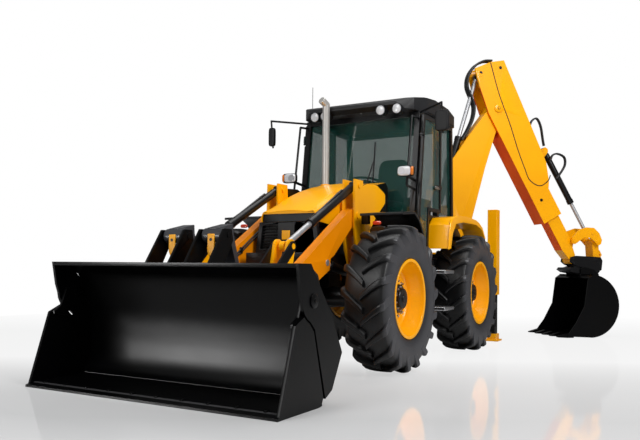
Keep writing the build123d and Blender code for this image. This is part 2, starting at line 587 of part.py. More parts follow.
def door(side):
    """Door: a thin frame round one large pane, cranked down beside the footwell, with a handle."""
    y0, y1 = CAB_HALF + RUN, CAB_HALF + RUN + DOOR_THICK
    top, low, step = CAB_HEAD_Z - 40, FLOOR_Z + 40, DECK_Z + 95
    rear = DOOR_REAR_X - 30
    outer = [(CAB_FRONT[0] - 55, low), (CAB_FRONT[0] - 50, CAB_FOOT_Z), (CAB_FRONT[1] - 35, top), (rear, top),
             (rear, step), (STEP_X, step), (STEP_X + 20, low)]
    inset = 42
    hole = [(CAB_FRONT[0] - 55 - inset, low + inset), (CAB_FRONT[0] - 52 - inset, CAB_FOOT_Z),
            (CAB_FRONT[1] - 40 - inset, top - inset), (rear + inset, top - inset), (rear + inset, step + inset),
            (STEP_X + inset - 10, step + inset), (STEP_X + 20 + inset, low + inset)]
    frame = plate(outer, y0, y1) - plate(hole, y0 - 1, y1 + 1)
    pane = plate(hole, y0 + 12, y0 + 18)
    handle = block((rear + 35, rear + 150), (y0 + 10, y1 + 25), (1940, 1975))
    for z_hinge in (1600, 2560):
        frame -= rod(door_axis(1, z_hinge - 72), door_axis(1, z_hinge - 32), 34)
        frame += rod(door_axis(1, z_hinge - 30), door_axis(1, z_hinge + 45), 15)
        frame -= rod(door_axis(1, z_hinge - 72), door_axis(1, z_hinge + 55), 8 + FIT)
    leaf = fused(frame, pane, handle)
    return leaf if side > 0 else mirror(leaf, about=Plane.XZ)


def cab_interior():
    """Seat pedestal, the two arm consoles and the steering column with its wheel."""
    floor = DECK_Z + 25
    parts = [block((80, 480), (-200, 200), (floor, floor + 135))]
    parts += [block((60, 520), tuple(sorted((s * 330, s * 520))), (floor, floor + 265)) for s in (-1, 1)]
    return parts + [controls()]


def seat_cushion():
    """Seat cushion and back rest."""
    low = DECK_Z + 25 + 135 + FIT
    base = plate([(60, low), (560, low), (560, low + 110), (60, low + 110)], -240, 240)
    back = plate([(30, low + 90), (160, low + 90), (90, low + 760), (-30, low + 760)], -230, 230)
    return fused(base, back)


WHEEL_CENTRE = (850.0, 2010.0)


def controls():
    """Steering column with its wheel."""
    x, z = WHEEL_CENTRE
    tilt = Pos(x, 0, z) * Rot(0, -14, 0)
    column = rod((1040, 0, FLOOR_Z + 40), (x, 0, z), 42) + rod((1045, 0, FLOOR_Z), (1045, 0, FLOOR_Z + 60), 62)
    spokes = [tilt * Rot(0, 0, a) * Pos(95, 0, 0) * Box(190, 26, 14) for a in (90, 210, 330)]
    return fused(column, tilt * Torus(190, 14), tilt * Cylinder(60, 40), spokes)


REAR_FENDER_Y = 1010.0            # outer edge


def rear_body():
    """Body under the cab: the deck, its webs on the rails and the fenders over the rear wheels."""
    parts = [block((-420, STEP_X - 10), (-690, 690), (DECK_Z - 50, DECK_Z))]
    outline = [(752, 1225), (705, 1500), (600, 1590), (300, 1625), (-250, 1610), (-520, 1530), (-655, 1400), (-640, 1375),
               (-500, 1500), (-240, 1552), (250, 1552), (520, 1520), (640, 1400), (700, 1225)]
    skirt = [(752, 1225), (705, 1500), (690, DECK_Z), (-420, DECK_Z), (-600, 1440), (-560, 1290), (-300, 1490),
             (200, 1500), (480, 1400), (620, 1225)]
    for s in (-1, 1):
        parts.append(plate(outline, *sorted((s * (CAB_HALF + 4), s * REAR_FENDER_Y))))
        parts.append(plate(skirt, *sorted((s * 650, s * 690))))
        parts.append(block((-420, STEP_X - 30), tuple(sorted((s * (RAIL_Y[0] + 10), s * RAIL_Y[1]))), (RAIL_Z[1], DECK_Z - 40)))
        parts.append(block((-420, 600), tuple(sorted((s * 680, s * (CAB_HALF + 10)))), (DECK_Z - 50, DECK_Z)))
    return fused(parts)


def side_boxes():
    """Tank, battery box and steps between the wheels, fixed to the rails."""
    parts = []
    for s in (-1, 1):
        parts.append(block((900, 1320), tuple(sorted((s * RAIL_Y[1], s * 880))), (520, 1090)))
        for z in (560, 960):
            parts.append(block((900, 1200), tuple(sorted((s * 870, s * 1120))), (z - 20, z + 20)))
    return fused(parts[:3]), fused(parts[3:])


def exhaust():
    """Exhaust stack with its bent tip."""
    x, y, z = STACK_FOOT
    elbow = (x, y, z + 930)
    return fused(rod(STACK_FOOT, elbow, 42), Pos(*elbow) * Sphere(42), rod(elbow, (x + 80, y - 20, z + 975), 42))


def headlamps():
    """Headlamps with their indicators, on the ends of the stalks."""
    x, y, z = LAMP_STALK
    lamps = []
    for s in (-1, 1):
        depth, width, height = LAMP_SIZE
        across = tuple(sorted((s * (y - width / 2), s * (y + width / 2))))
        lamp = block((x - depth / 2, x + depth / 2), across, (z - 24, z - 24 + height))
        lamp = chamfer(lamp.edges().filter_by(Axis.X), 28)
        stalk = rod((screen_x(z) - 30, s * (CAB_HALF - 25), z - 30), (x - 30, s * (y - 20), z), 16)
        lamps.append(lamp - stalk)
    return lamps


def mirrors():
    """Mirror heads on the ends of their arms."""
    heads = []
    for s in (-1, 1):
        mx, my = MIRROR_ARM[s]
        head = block((mx - 60, mx + 5), tuple(sorted((s * (my - 80), s * (my + 80)))), (2490, 2720))
        heads.append(head - rod((mx, s * my, 2800), (mx - 45, s * my, 2470), 11))
    return heads


# ---- backhoe -----------------------------------------------------------------------------------------------
CARRIAGE_FACE_X = REAR_FRAME_X - 100 - FIT


def carriage():
    """Side-shift carriage clamped on the two rails, with the lugs of the kingpost."""
    plate_x = (CARRIAGE_FACE_X - 40, CARRIAGE_FACE_X)
    parts = [block(plate_x, (-260, 260), (480, 1225))]
    for z in ((484, 500 - FIT), (1200 + FIT, 1221)):
        parts.append(block((plate_x[0], CARRIAGE_FACE_X + 60), (-260, 260), z))
    for z in ((520, 600), (1020, 1100)):
        lug = block((KINGPOST_X, plate_x[1]), (-62, 62), z) + rod((KINGPOST_X, 0, z[0]), (KINGPOST_X, 0, z[1]), 62)
        parts.append(lug)
    return fused(parts)


def kingpost():
    """Kingpost: the column, and two cheeks that hold the boom's foot and the boom ram."""
    column = rod((0, 0, 600 + FIT), (0, 0, 1020 - FIT), 60)
    parts = [column]
    cheek = [(-20, 640), (300, 660), (345, 750), (300, 830), (160, 985), (70, 985), (-20, 960)]
    for s in (-1, 1):
        parts.append(plate(cheek, *sorted((s * CHEEK[0], s * CHEEK[1]))))
        parts.append(pin(BOOM_FOOT, 35, *sorted((s * 78, s * (CHEEK[1] + 8)))))
        parts.append(block((-20, 30), tuple(sorted((s * 50, s * CHEEK[1]))), (640, 960)))
    parts.append(pin(BOOM_RAM_BASE, 25, -CHEEK[1], CHEEK[1]))
    return fused(parts)


def boom():
    """Boom: a cranked box, open at its foot where the boom ram lies between its sides."""
    outline = [(180, 720), (225, 1000), (290, 1600), (285, 2100), (250, 2540), (520, 2930), (820, 3330), (885, 3450),
               (985, 3490), (1085, 3430), (1085, 3330), (955, 3000), (800, 2500), (610, 1790), (430, 1050), (350, 690),
               (270, 665)]
    body = plate(outline, -BOOM_HALF, BOOM_HALF)
    slot = [(0, 500), (0, 1600), (300, 1800), (520, 1800), (720, 1790), (560, 1000), (500, 500)]
    body -= plate(slot, -80, 80)
    hollow = [(320, 1900), (330, 2500), (560, 2860), (850, 3220), (930, 3220), (760, 2560), (590, 1900)]
    body -= plate(hollow, -BOOM_HALF + 12, BOOM_HALF - 12)
    body -= pin(BOOM_FOOT, 35 + FIT, -200, 200)
    body -= pin(DIPPER_PIN, 40 + FIT, -200, 200)
    body -= plate([(150, 1750), (150, 1885), (560, 1885), (640, 1750)], -48, 48)
    body -= plate([(-100, 1880), (165, 1880), (415, 2540), (560, 2950), (400, 3050), (-100, 3050)], -62, 62)
    for s in (-1, 1):
        lug = [(60, 1800), (30, 1860), (60, 1915), (120, 1915), (300, 1930), (330, 1780), (120, 1790)]
        body += plate(lug, *sorted((s * 50, s * 75)))
        body += pin(BOOM_RAM_EYE, 25, *sorted((s * (BOOM_HALF - 5), s * (BOOM_HALF + 4))))
    body += pin(DIPPER_RAM_BASE, 25, -80, 80)
    return body


def dipper_frame():
    """Unit vectors along the dipper and across it toward the back."""
    length = hypot(BUCKET_PIN[0] - DIPPER_PIN[0], BUCKET_PIN[1] - DIPPER_PIN[1])
    along = ((BUCKET_PIN[0] - DIPPER_PIN[0]) / length, (BUCKET_PIN[1] - DIPPER_PIN[1]) / length)
    return along, (-along[1], along[0])


def on_dipper(s, t):
    """Point s along the dipper from its pin and t toward its back."""
    along, across = dipper_frame()
    return (DIPPER_PIN[0] + s * along[0] + t * across[0], DIPPER_PIN[1] + s * along[1] + t * across[1])


LEVER_FACE = (145.0, 168.0)    # inner and outer face of a tipping lever's plate
INNER_T = (-95.0, 110.0)       # front and back face of the inner dipper, across
PAD = 15.0                     # wear pads between the two boxes
OUTER_END = 1850.0
SLIDER_TAIL = 640.0
RETRACT = 340.0                # how far the inner dipper slides in from where it rests


def dipper_outline(points):
    """Points given along and across the dipper, as (x, z)."""
    return [on_dipper(s, t) for s, t in points]


def outer_dipper():
    """Outer dipper: a box open at its lower end and along its back, with cheeks round the boom's head."""
    flank = dipper_outline(((-681, -42), (-652, 229), (-583, 431), (354, 356), (1058, 299), (1330, 200), (1420, 140),
                            (OUTER_END, 140), (OUTER_END, -185), (1351, -178), (0, -175), (-400, -110)))
    body = plate(flank, -DIPPER_HALF, DIPPER_HALF)
    tail = SLIDER_TAIL - RETRACT - 20
    bore = dipper_outline(((tail, INNER_T[1] + PAD), (OUTER_END + 10, INNER_T[1] + PAD),
                           (OUTER_END + 10, INNER_T[0] - PAD), (tail, INNER_T[0] - PAD)))
    body -= plate(bore, -INNER_HALF - PAD, INNER_HALF + PAD)
    slot = dipper_outline(((450, 0), (450, 600), (OUTER_END + 10, 600), (OUTER_END + 10, 0)))
    body -= plate(slot, -58, 58)
    head = dipper_outline(((-800, -500), (770, -500), (364, -160), (132, 62), (122, 125), (-330, 125), (-800, 70)))
    body -= plate(head, -BOOM_HALF - RUN, BOOM_HALF + RUN)
    channel = dipper_outline(((-740, -100), (-660, 150), (-585, 320), (-250, 310), (122, 200), (122, 0), (-300, -150)))
    body -= plate(channel, -62, 62)
    for s in (-1, 1):
        pad = dipper_outline(((OUTER_END - 150, 80), (OUTER_END - 20, 80), (OUTER_END - 20, -65), (OUTER_END - 150, -65)))
        body += plate(pad, *sorted((s * (INNER_HALF + FIT), s * (INNER_HALF + PAD + 2))))
    for t in ((INNER_T[0] - PAD - 2, INNER_T[0] - FIT), (INNER_T[1] + FIT, INNER_T[1] + PAD + 2)):
        pad = dipper_outline(((OUTER_END - 150, t[0]), (OUTER_END - 20, t[0]), (OUTER_END - 20, t[1]), (OUTER_END - 150, t[1])))
        for s in (-1, 1):
            body += plate(pad, *sorted((s * 64, s * 98)))
    body += pin(DIPPER_PIN, 40, -DIPPER_HALF - 8, DIPPER_HALF + 8)
    for s in (-1, 1):
        body += pin(DIPPER_RAM_EYE, 25, *sorted((s * (DIPPER_HALF - 5), s * (DIPPER_HALF + 5))))
    return body


def inner_dipper():
    """Inner dipper: sliding box with the bucket's nose, the tipping lever's pin and the bucket ram's lug."""
    t0, t1 = INNER_T
    outline = dipper_outline(((SLIDER_TAIL, t1), (2230, t1), (2330, 135), (2400, 80), (2520, 60), (2560, 0), (2520, -62),
                              (2350, t0), (SLIDER_TAIL, t0)))
    body = plate(outline, -INNER_HALF, INNER_HALF)
    body += pin(BUCKET_PIN, 62, -INNER_HALF, INNER_HALF)
    body -= pin(BUCKET_PIN, 30 + FIT, -200, 200)
    body += pin(TIP_LEVER_PIN, 55, -INNER_HALF, INNER_HALF) + pin(TIP_LEVER_PIN, 30, -LEVER_FACE[1] - 8, LEVER_FACE[1] + 8)
    bx, bz = BUCKET_RAM_BASE
    along, across = dipper_frame()
    s0 = (bx - DIPPER_PIN[0]) * along[0] + (bz - DIPPER_PIN[1]) * along[1]
    t2 = (bx - DIPPER_PIN[0]) * across[0] + (bz - DIPPER_PIN[1]) * across[1]
    lug = dipper_outline(((s0 - 60, t1 - 20), (s0 + 200, t1 - 20), (s0 + 42, t2 + 25), (s0, t2 + 42), (s0 - 42, t2 + 20)))
    for s in (-1, 1):
        body += plate(lug, *sorted((s * 37, s * 52)))
    body += pin(BUCKET_RAM_BASE, 25, -52, 52)
    return body


def tip_lever():
    """Tipping lever: two arched plates on the inner dipper, joined by the pin of the link."""
    arch = [(2195, 1440), (2205, 1490), (2310, 1600), (2440, 1645), (2570, 1640), (2660, 1560), (2705, 1460), (2690, 1395),
            (2640, 1370), (2570, 1440), (2500, 1490), (2400, 1490), (2300, 1420), (2255, 1388), (2205, 1395)]
    parts = [pin(TIP_LINK_TOP, 28, -LEVER_FACE[1] - 6, LEVER_FACE[1] + 6)]
    for s in (-1, 1):
        side = plate(arch, *sorted((s * LEVER_FACE[0], s * LEVER_FACE[1])))
        parts.append(side - pin(TIP_LEVER_PIN, 30 + FIT, -200, 200))
        parts.append(pin(BUCKET_RAM_EYE, 25, *sorted((s * LEVER_FACE[0], s * (LEVER_FACE[1] + 6)))))
    return fused(parts)


def tip_link():
    """Tipping link between lever and hitch, with the lifting eye on its back."""
    body = bar_plate(TIP_LINK_TOP, TIP_LINK_FOOT, 52, -98, 98)
    body -= pin(TIP_LINK_TOP, 28 + FIT, -200, 200)
    body -= pin(TIP_LINK_FOOT, 30 + FIT, -200, 200)
    eye = round_plate([(2670, 1320), (2765, 1305), (2805, 1232), (2765, 1172), (2680, 1185)], 18, -18, 18)
    return fused(body, eye - pin(LIFTING_EYE, 22, -40, 40))


HITCH_FACE = (INNER_HALF + RUN, INNER_HALF + RUN + 28)


def hitch():
    """Tilting hitch between the dipper's nose and the bucket."""
    upper = [(2200, 1190), (2290, 1212), (2600, 1200), (2705, 1195), (2735, 1140), (2720, 1000), (2650, 960), (2480, 1000),
             (2250, 1075), (2190, 1120)]
    saddle = [(2230, 1035), (2660, 935), (2700, 985), (2690, 1010), (2480, 1045), (2330, 1070)]
    foot = [(2140, 1000), (2170, 1035), (2300, 1025), (2640, 945), (2655, 915), (2575, 908), (2480, 937), (2370, 933),
            (2200, 962)]
    parts = [plate(upper, *sorted((s * HITCH_FACE[0], s * HITCH_FACE[1]))) for s in (-1, 1)]
    parts += [plate(saddle, -130, 130), plate(foot, -175 + FIT, 175 - FIT)]
    parts += [pin(at, 30, -HITCH_FACE[1] - 5, HITCH_FACE[1] + 5) for at in (BUCKET_PIN, TIP_LINK_FOOT)]
    return fused(parts)


BUCKET_ROUND = (2335.0, 466.0, 466.0)   # x, z of the middle of the bucket's round back, and its radius
WRAP = 22.0                             # thickness of the wrapper


def bowl(back, rest, half):
    """Prism whose outline runs along an arc through the second, third and fourth point of its back."""
    start, low, far, high, *top = [(x, -half, z) for x, z in back]
    rest = [(x, -half, z) for x, z in rest]
    edge = Line(start, low) + ThreePointArc(low, far, high) + Polyline(high, *top, *rest, start)
    return extrude(make_face(edge), amount=2 * half, dir=(0, 1, 0))


def bucket():
    """Bucket: curved wrapper between two sides, with its ears, lip and five teeth."""
    x, z, radius = BUCKET_ROUND
    back = [(2380, 0), (x, z - radius), (x + radius, z), (x + 18, z + radius), (2370, 925), (2290, 870)]
    front = [(2235, 470), (2090, 210), (1955, 38), (1960, 20)]
    lining = [(2380, 22), (x, z - radius + WRAP), (x + radius - WRAP, z), (x + 18, z + radius - WRAP), (2385, 903),
              (2330, 880)]
    mouth = [(2200, 860), (1900, 860), (1900, 40)]
    tooth = [(2060, 0), (2060, 55), (1960, 62), (1812, 22), (1812, 8), (1960, 0)]
    ear = [(2320, 890), (2330, 1010), (2390, 1040), (2560, 1000), (2610, 940), (2620, 870), (2480, 915), (2380, 910)]
    body = bowl(back, front, BUCKET_HALF) - bowl(lining, mouth, BUCKET_HALF - 20)
    for i in range(5):
        y = (i - 2) * (BUCKET_HALF - 45) / 2
        body += plate(tooth, y - 32, y + 32)
    for s in (-1, 1):
        body += plate(ear, *sorted((s * 175, s * 200)))
    return body


def hoe_rams():
    """The rams of boom, dipper and bucket, as (tube, rod) pairs by name."""
    return {
        "boom_ram": ram(BOOM_RAM_BASE, BOOM_RAM_EYE, 0, (660, 150, 40, 25, 70, 25, 60)),
        "dipper_ram": ram(DIPPER_RAM_BASE, DIPPER_RAM_EYE, 0, (1150, 985, 50, 30, 76, 25, 110)),
        "bucket_ram": ram(BUCKET_RAM_BASE, BUCKET_RAM_EYE, 0, (915, 405, 45, 27, 66, 25, 70)),
    }


def stabiliser(side):
    """Inner leg of a stabiliser with its guide shoe above and its foot on the ground."""
    y = side * LEG_Y
    leg = block((LEG_X - 55, LEG_X + 55), (y - 45, y + 45), (90, 1260))
    shoe = block((LEG_X - 61 + FIT, LEG_X + 61 - FIT), (y - 51 + FIT, y + 51 - FIT), (1200, 1260))
    foot = block((LEG_X - FOOT[0], LEG_X + FOOT[0]), (y - FOOT[1], y + FOOT[1]), (0, 22))
    ankle = block((LEG_X - 75, LEG_X + 75), (y - 65, y + 65), (20, 100))
    return fused(leg, shoe, foot, ankle)


# ---- all nodes -------------------------------------------------------------------------------------------------
def machine():
    """Every node by name, in the modelling frame."""
    nodes = {"chassis": chassis(), "loader_towers": towers(), "axles": [axle(WHEELBASE), axle(0.0)]}
    for end, x in (("front", WHEELBASE), ("rear", 0.0)):
        for hand, side in (("left", 1), ("right", -1)):
            nodes[f"{end}_{hand}_knuckle"] = knuckle(x, side)
            nodes[f"{end}_{hand}_rim"] = rim(x, side)
            nodes[f"{end}_{hand}_tyre"] = tyre(x, side)
    nodes.update(engine=engine(), bonnet=bonnet(), grille=grille(), cowl=cowl(), front_fenders=front_fenders(),
                 rear_body=rear_body(), side_boxes=side_boxes(), exhaust=exhaust())
    nodes.update(cab_frame=cab_frame(), roof=roof(), glazing=glazing(), left_door=door(1), right_door=door(-1),
                 cab_interior=cab_interior(), seat=seat_cushion(), lamps_and_mirrors=headlamps() + mirrors())
    lift = ram(LIFT_BASE, LIFT_EYE, ARM_Y, (745, 95, 44, 28, 60, 30, 62))
    tilt = ram(TILT_BASE, LEVER_TOP, ARM_Y, (960, 240, 42, 26, 50, 25, 60))
    nodes.update(loader_arms=loader_arms(), lift_ram_tubes=both_sides(lift[0]), lift_ram_rods=both_sides(lift[1]),
                 tilt_ram_tubes=both_sides(tilt[0]), tilt_ram_rods=both_sides(tilt[1]), tilt_levers=tilt_levers(),
                 tilt_links=tilt_links(), shovel=shovel_back(), clam_jaw=clam_jaw(), forks=forks())
    nodes["sideshift_carriage"] = carriage()
    place = backhoe_place()
    hoe = {"kingpost": kingpost(), "boom": boom(), "outer_dipper": outer_dipper(), "inner_dipper": inner_dipper(),
           "tipping_lever": tip_lever(), "tipping_link": tip_link(), "hitch": hitch(), "bucket": bucket()}
    for name, (tube, slider) in hoe_rams().items():
        hoe[f"{name}_tube"], hoe[f"{name}_rod"] = tube, slider
    nodes.update({name: place * shape for name, shape in hoe.items()})
    nodes.update(left_stabiliser=stabiliser(1), right_stabiliser=stabiliser(-1))
    return nodes


def export_nodes():
    """Moves every node to the middle of the plan and writes its STEP file."""
    os.makedirs("parts", exist_ok=True)
    move = Pos(-PLAN_MIDDLE_X, -PLAN_MIDDLE_Y, 0)
    for name, shape in machine().items():
        solids = shape if isinstance(shape, (list, tuple)) else [shape]
        solids = [solid for item in solids for solid in item.solids()]
        moved = [move * solid for solid in solids]
        export_step(moved[0] if len(moved) == 1 else Compound(children=moved), f"parts/{name}.step")


export_nodes()
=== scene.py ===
"""Looks of a backhoe loader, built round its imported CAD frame.

Metres, +Z up, +X forward, +Y to the machine's left.  Sizes are written in the machine's own frame,
whose origin is on the ground below the rear axle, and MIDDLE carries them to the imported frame.
"""

import json
import logging
import math
from collections.abc import Callable
from dataclasses import dataclass, field
from enum import Enum

import bmesh
import bpy
import numpy as np
from mathutils import Matrix, Vector

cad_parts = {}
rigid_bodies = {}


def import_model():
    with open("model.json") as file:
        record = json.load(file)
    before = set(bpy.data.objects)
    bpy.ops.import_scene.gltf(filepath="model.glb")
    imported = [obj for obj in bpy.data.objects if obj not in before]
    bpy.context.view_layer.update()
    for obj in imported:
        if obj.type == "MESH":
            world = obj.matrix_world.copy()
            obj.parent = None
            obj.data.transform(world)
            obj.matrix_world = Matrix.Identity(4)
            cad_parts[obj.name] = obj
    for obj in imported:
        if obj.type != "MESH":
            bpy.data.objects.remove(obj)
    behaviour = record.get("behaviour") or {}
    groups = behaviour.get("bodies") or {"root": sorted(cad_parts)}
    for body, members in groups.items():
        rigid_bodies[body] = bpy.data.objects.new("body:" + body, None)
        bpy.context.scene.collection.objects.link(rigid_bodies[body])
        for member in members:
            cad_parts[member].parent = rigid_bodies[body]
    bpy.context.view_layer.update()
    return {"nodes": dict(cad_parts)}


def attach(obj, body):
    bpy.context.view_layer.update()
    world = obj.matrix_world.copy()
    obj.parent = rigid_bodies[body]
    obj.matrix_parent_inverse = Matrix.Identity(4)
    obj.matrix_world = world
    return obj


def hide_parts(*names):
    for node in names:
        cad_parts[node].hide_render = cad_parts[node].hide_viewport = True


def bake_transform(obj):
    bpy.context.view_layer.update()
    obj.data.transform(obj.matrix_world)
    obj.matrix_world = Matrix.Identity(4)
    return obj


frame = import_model()
LOG = logging.getLogger("loader")

MIDDLE = np.array([0.543, 0.5795, 0.0])
KINGPOST = np.array([-1.33, 0.0, 0.0])
SLEW = math.radians(132.0)
OUTWARD = np.array([math.cos(SLEW), math.sin(SLEW), 0.0])
ACROSS = np.array([-math.sin(SLEW), math.cos(SLEW), 0.0])
UP = np.array([0.0, 0.0, 1.0])
FORWARD = np.array([1.0, 0.0, 0.0])
MIRROR = np.array([1.0, -1.0, 1.0])
SIDES = (-1, 1)
HANDS = ("left", "right")
Array = np.ndarray


# ---- places ------------------------------------------------------------------------------------------
def at(points: Array) -> Array:
    """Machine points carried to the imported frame."""
    return np.asarray(points, float) - MIDDLE


def hoe(r: Array, z: Array, across: Array = 0.0) -> Array:
    """Points in the boom's plane, in the machine's frame.

    Args:
        r: distance outward from the kingpost.
        z: height.
        across: distance to the side of the plane that faces away from the cab's left.

    Returns:
        Array of points, the broadcast shape of the arguments with a last axis of three.
    """
    r, z, across = np.broadcast_arrays(*(np.asarray(v, float) for v in (r, z, across)))
    return KINGPOST + r[..., None] * OUTWARD + across[..., None] * ACROSS + z[..., None] * UP


# ---- meshes ------------------------------------------------------------------------------------------
@dataclass
class Mesh:
    """Vertices and faces of one surface, which add up with +."""

    points: Array
    quads: Array
    caps: list = field(default_factory=list)

    def __add__(self, other: "Mesh") -> "Mesh":
        """Both surfaces in one mesh."""
        shift = len(self.points)
        return Mesh(np.vstack([self.points, other.points]), np.vstack([self.quads, other.quads + shift]),
                    self.caps + [cap + shift for cap in other.caps])

    def moved(self, turn: Array, by: Array) -> "Mesh":
        """The surface turned by a matrix, then moved."""
        return Mesh(self.points @ np.asarray(turn, float).T + np.asarray(by, float), self.quads, self.caps)

    def mirrored(self) -> "Mesh":
        """Mirror image on the other side of the machine's centre plane."""
        return Mesh(self.points * MIRROR, self.quads[:, ::-1], [cap[::-1] for cap in self.caps])

    def both(self) -> "Mesh":
        """This surface and its mirror image."""
        return self + self.mirrored()

    def data(self, name: str) -> bpy.types.Mesh:
        """Blender mesh of the surface, its faces turned outward.

        Args:
            name: the mesh's name.

        Returns:
            The mesh, with the four-cornered faces first and the caps after them.
        """
        sizes = np.array([4] * len(self.quads) + [len(cap) for cap in self.caps], dtype=np.int32)
        corners = np.concatenate([self.quads.ravel(), *self.caps]).astype(np.int32)
        mesh = bpy.data.meshes.new(name)
        mesh.vertices.add(len(self.points))
        mesh.vertices.foreach_set("co", self.points.astype(np.float32).ravel())
        mesh.loops.add(len(corners))
        mesh.loops.foreach_set("vertex_index", corners)
        mesh.polygons.add(len(sizes))
        mesh.polygons.foreach_set("loop_start", np.concatenate([[0], np.cumsum(sizes)[:-1]]).astype(np.int32))
        mesh.update(calc_edges=True)
        mesh.validate()
        work = bmesh.new()
        work.from_mesh(mesh)
        bmesh.ops.recalc_face_normals(work, faces=work.faces)
        work.to_mesh(mesh)
        work.free()
        return mesh


def joined(meshes: list) -> Mesh:
    """All surfaces of a list in one.

    Args:
        meshes: at least one surface.

    Returns:
        Their sum, in the list's order.
    """
    total = meshes[0]
    for mesh in meshes[1:]:
        total = total + mesh
    return total


def lattice(points: Array, ring_u: bool = False, ring_v: bool = False, caps: bool = False) -> Mesh:
    """Mesh of a grid of points.

    Each cell of the grid becomes one four-cornered face between rows i, i+1 and columns j, j+1.

    Args:
        points: grid of shape (nu, nv, 3).
        ring_u: joins the last row to the first.
        ring_v: joins the last column to the first.
        caps: closes the first and last rows with one face each.

    Returns:
        The mesh, with as many vertices as the grid has points.
    """
    nu, nv = points.shape[:2]
    index = np.arange(nu * nv).reshape(nu, nv)
    rows = np.vstack([index, index[:1]]) if ring_u else index
    rows = np.hstack([rows, rows[:, :1]]) if ring_v else rows
    cells = np.stack([rows[:-1, :-1], rows[1:, :-1], rows[1:, 1:], rows[:-1, 1:]], axis=-1).reshape(-1, 4)
    return Mesh(points.reshape(-1, 3).astype(float), cells, [index[0], index[-1][::-1]] if caps else [])


def smooth_line(knots: Array, count: int) -> Array:
    """Points evenly spread along a Catmull-Rom curve through the knots.

    On each span the point is the cubic whose end slopes are half the step between the knots' neighbours.

    Args:
        knots: points that the curve runs through, in any number of dimensions.
        count: number of points handed back.

    Returns:
        The points, as far apart as each other along the curve.
    """
    p = np.asarray(knots, float)
    p = np.vstack([2 * p[0] - p[1], p, 2 * p[-1] - p[-2]])
    t = np.linspace(0.0, len(p) - 3 - 1e-9, count * 4)
    i = t.astype(int)
    f = (t - i)[:, None]
    a, b, c, d = p[i], p[i + 1], p[i + 2], p[i + 3]
    line = 0.5 * (2 * b + (c - a) * f + (2 * a - 5 * b + 4 * c - d) * f**2 + (3 * b - a - 3 * c + d) * f**3)
    far = np.concatenate([[0.0], np.cumsum(np.linalg.norm(np.diff(line, axis=0), axis=1))])
    want = np.linspace(0.0, far[-1], count)
    return np.stack([np.interp(want, far, line[:, k]) for k in range(p.shape[1])], axis=1)


def carried(profile: Array, path: Array, side: Array, scale: Array = 1.0) -> Mesh:
    """A profile carried along a path, its ends closed.

    At each point of the path the profile's first coordinate runs along the side direction made square to
    the path, and its second along the path's direction crossed with that.

    Args:
        profile: ring of (a, b) offsets.
        path: points of the middle line.
        side: direction that the first coordinate keeps to.
        scale: size of the profile at each point of the path.

    Returns:
        The closed surface.
    """
    path = np.asarray(path, float)
    along = np.gradient(path, axis=0)
    along /= np.linalg.norm(along, axis=1)[:, None]
    first = np.asarray(side, float) - (along @ np.asarray(side, float))[:, None] * along
    first /= np.linalg.norm(first, axis=1)[:, None]
    second = np.cross(along, first)
    size = np.broadcast_to(scale, len(path))[:, None, None]
    ring = np.asarray(profile, float)[None]
    grid = path[:, None] + size * (ring[..., :1] * first[:, None] + ring[..., 1:] * second[:, None])
    return lattice(grid, ring_v=True, caps=True)


def circle(radius: float, count: int) -> Array:
    """Ring of points at one distance from the middle."""
    turn = np.arange(count) * 2 * math.pi / count
    return radius * np.stack([np.cos(turn), np.sin(turn)], axis=1)


def pipe(path: Array, radius: float, count: int = 14) -> Mesh:
    """Round bar or hose: a circle carried along a path.

    Args:
        path: points of the middle line.
        radius: the bar's radius.
        count: points round it.

    Returns:
        The closed surface.
    """
    path = np.asarray(path, float)
    run = path[-1] - path[0]
    side = np.eye(3)[int(np.argmin(np.abs(run)))]
    return carried(circle(radius, count), path, side)


def axes(direction: Array) -> tuple:
    """Unit vector along a direction, and two that stand square to it and to each other."""
    along = np.asarray(direction, float) / np.linalg.norm(direction)
    first = np.cross(along, UP if abs(along[2]) < 0.9 else FORWARD)
    first /= np.linalg.norm(first)
    return along, first, np.cross(along, first)


def turned(profile: Array, centre: Array, axis: Array, count: int = 48, ring: bool = False) -> Mesh:
    """Surface of revolution.

    The point at angle t on a profile point (r, h) is centre + h axis + r (cos t e1 + sin t e2).

    Args:
        profile: (radius, distance along the axis) of each ring.
        centre: point on the axis.
        axis: direction of the axis.
        count: points round each ring.
        ring: whether the profile closes on itself; otherwise its first and last rings are capped.

    Returns:
        The closed surface.
    """
    axis, e1, e2 = axes(axis)
    turn = circle(1.0, count)
    spokes = turn[:, :1] * e1 + turn[:, 1:] * e2
    rings = np.asarray(profile, float)
    grid = np.asarray(centre, float) + rings[:, None, 1:] * axis + rings[:, None, :1] * spokes[None]
    return lattice(grid, ring_u=ring, ring_v=True, caps=not ring)


def around(centre: Array, axis: Array, radius: float, count: int, lift: float = 0.0) -> Array:
    """Places evenly round an axis.

    Args:
        centre: point on the axis.
        axis: direction of the axis.
        radius: the places' distance from it.
        count: number of places.
        lift: their distance along the axis.

    Returns:
        The places, the first of them half a step round.
    """
    axis, first, second = axes(axis)
    turn = (np.arange(count) + 0.5) * 2 * math.pi / count
    spokes = np.cos(turn)[:, None] * first + np.sin(turn)[:, None] * second
    return np.asarray(centre) + lift * axis + radius * spokes


def raised(base: Array, power: float) -> Array:
    """Numbers raised to a power with their sign kept."""
    return np.sign(base) * np.abs(base) ** power


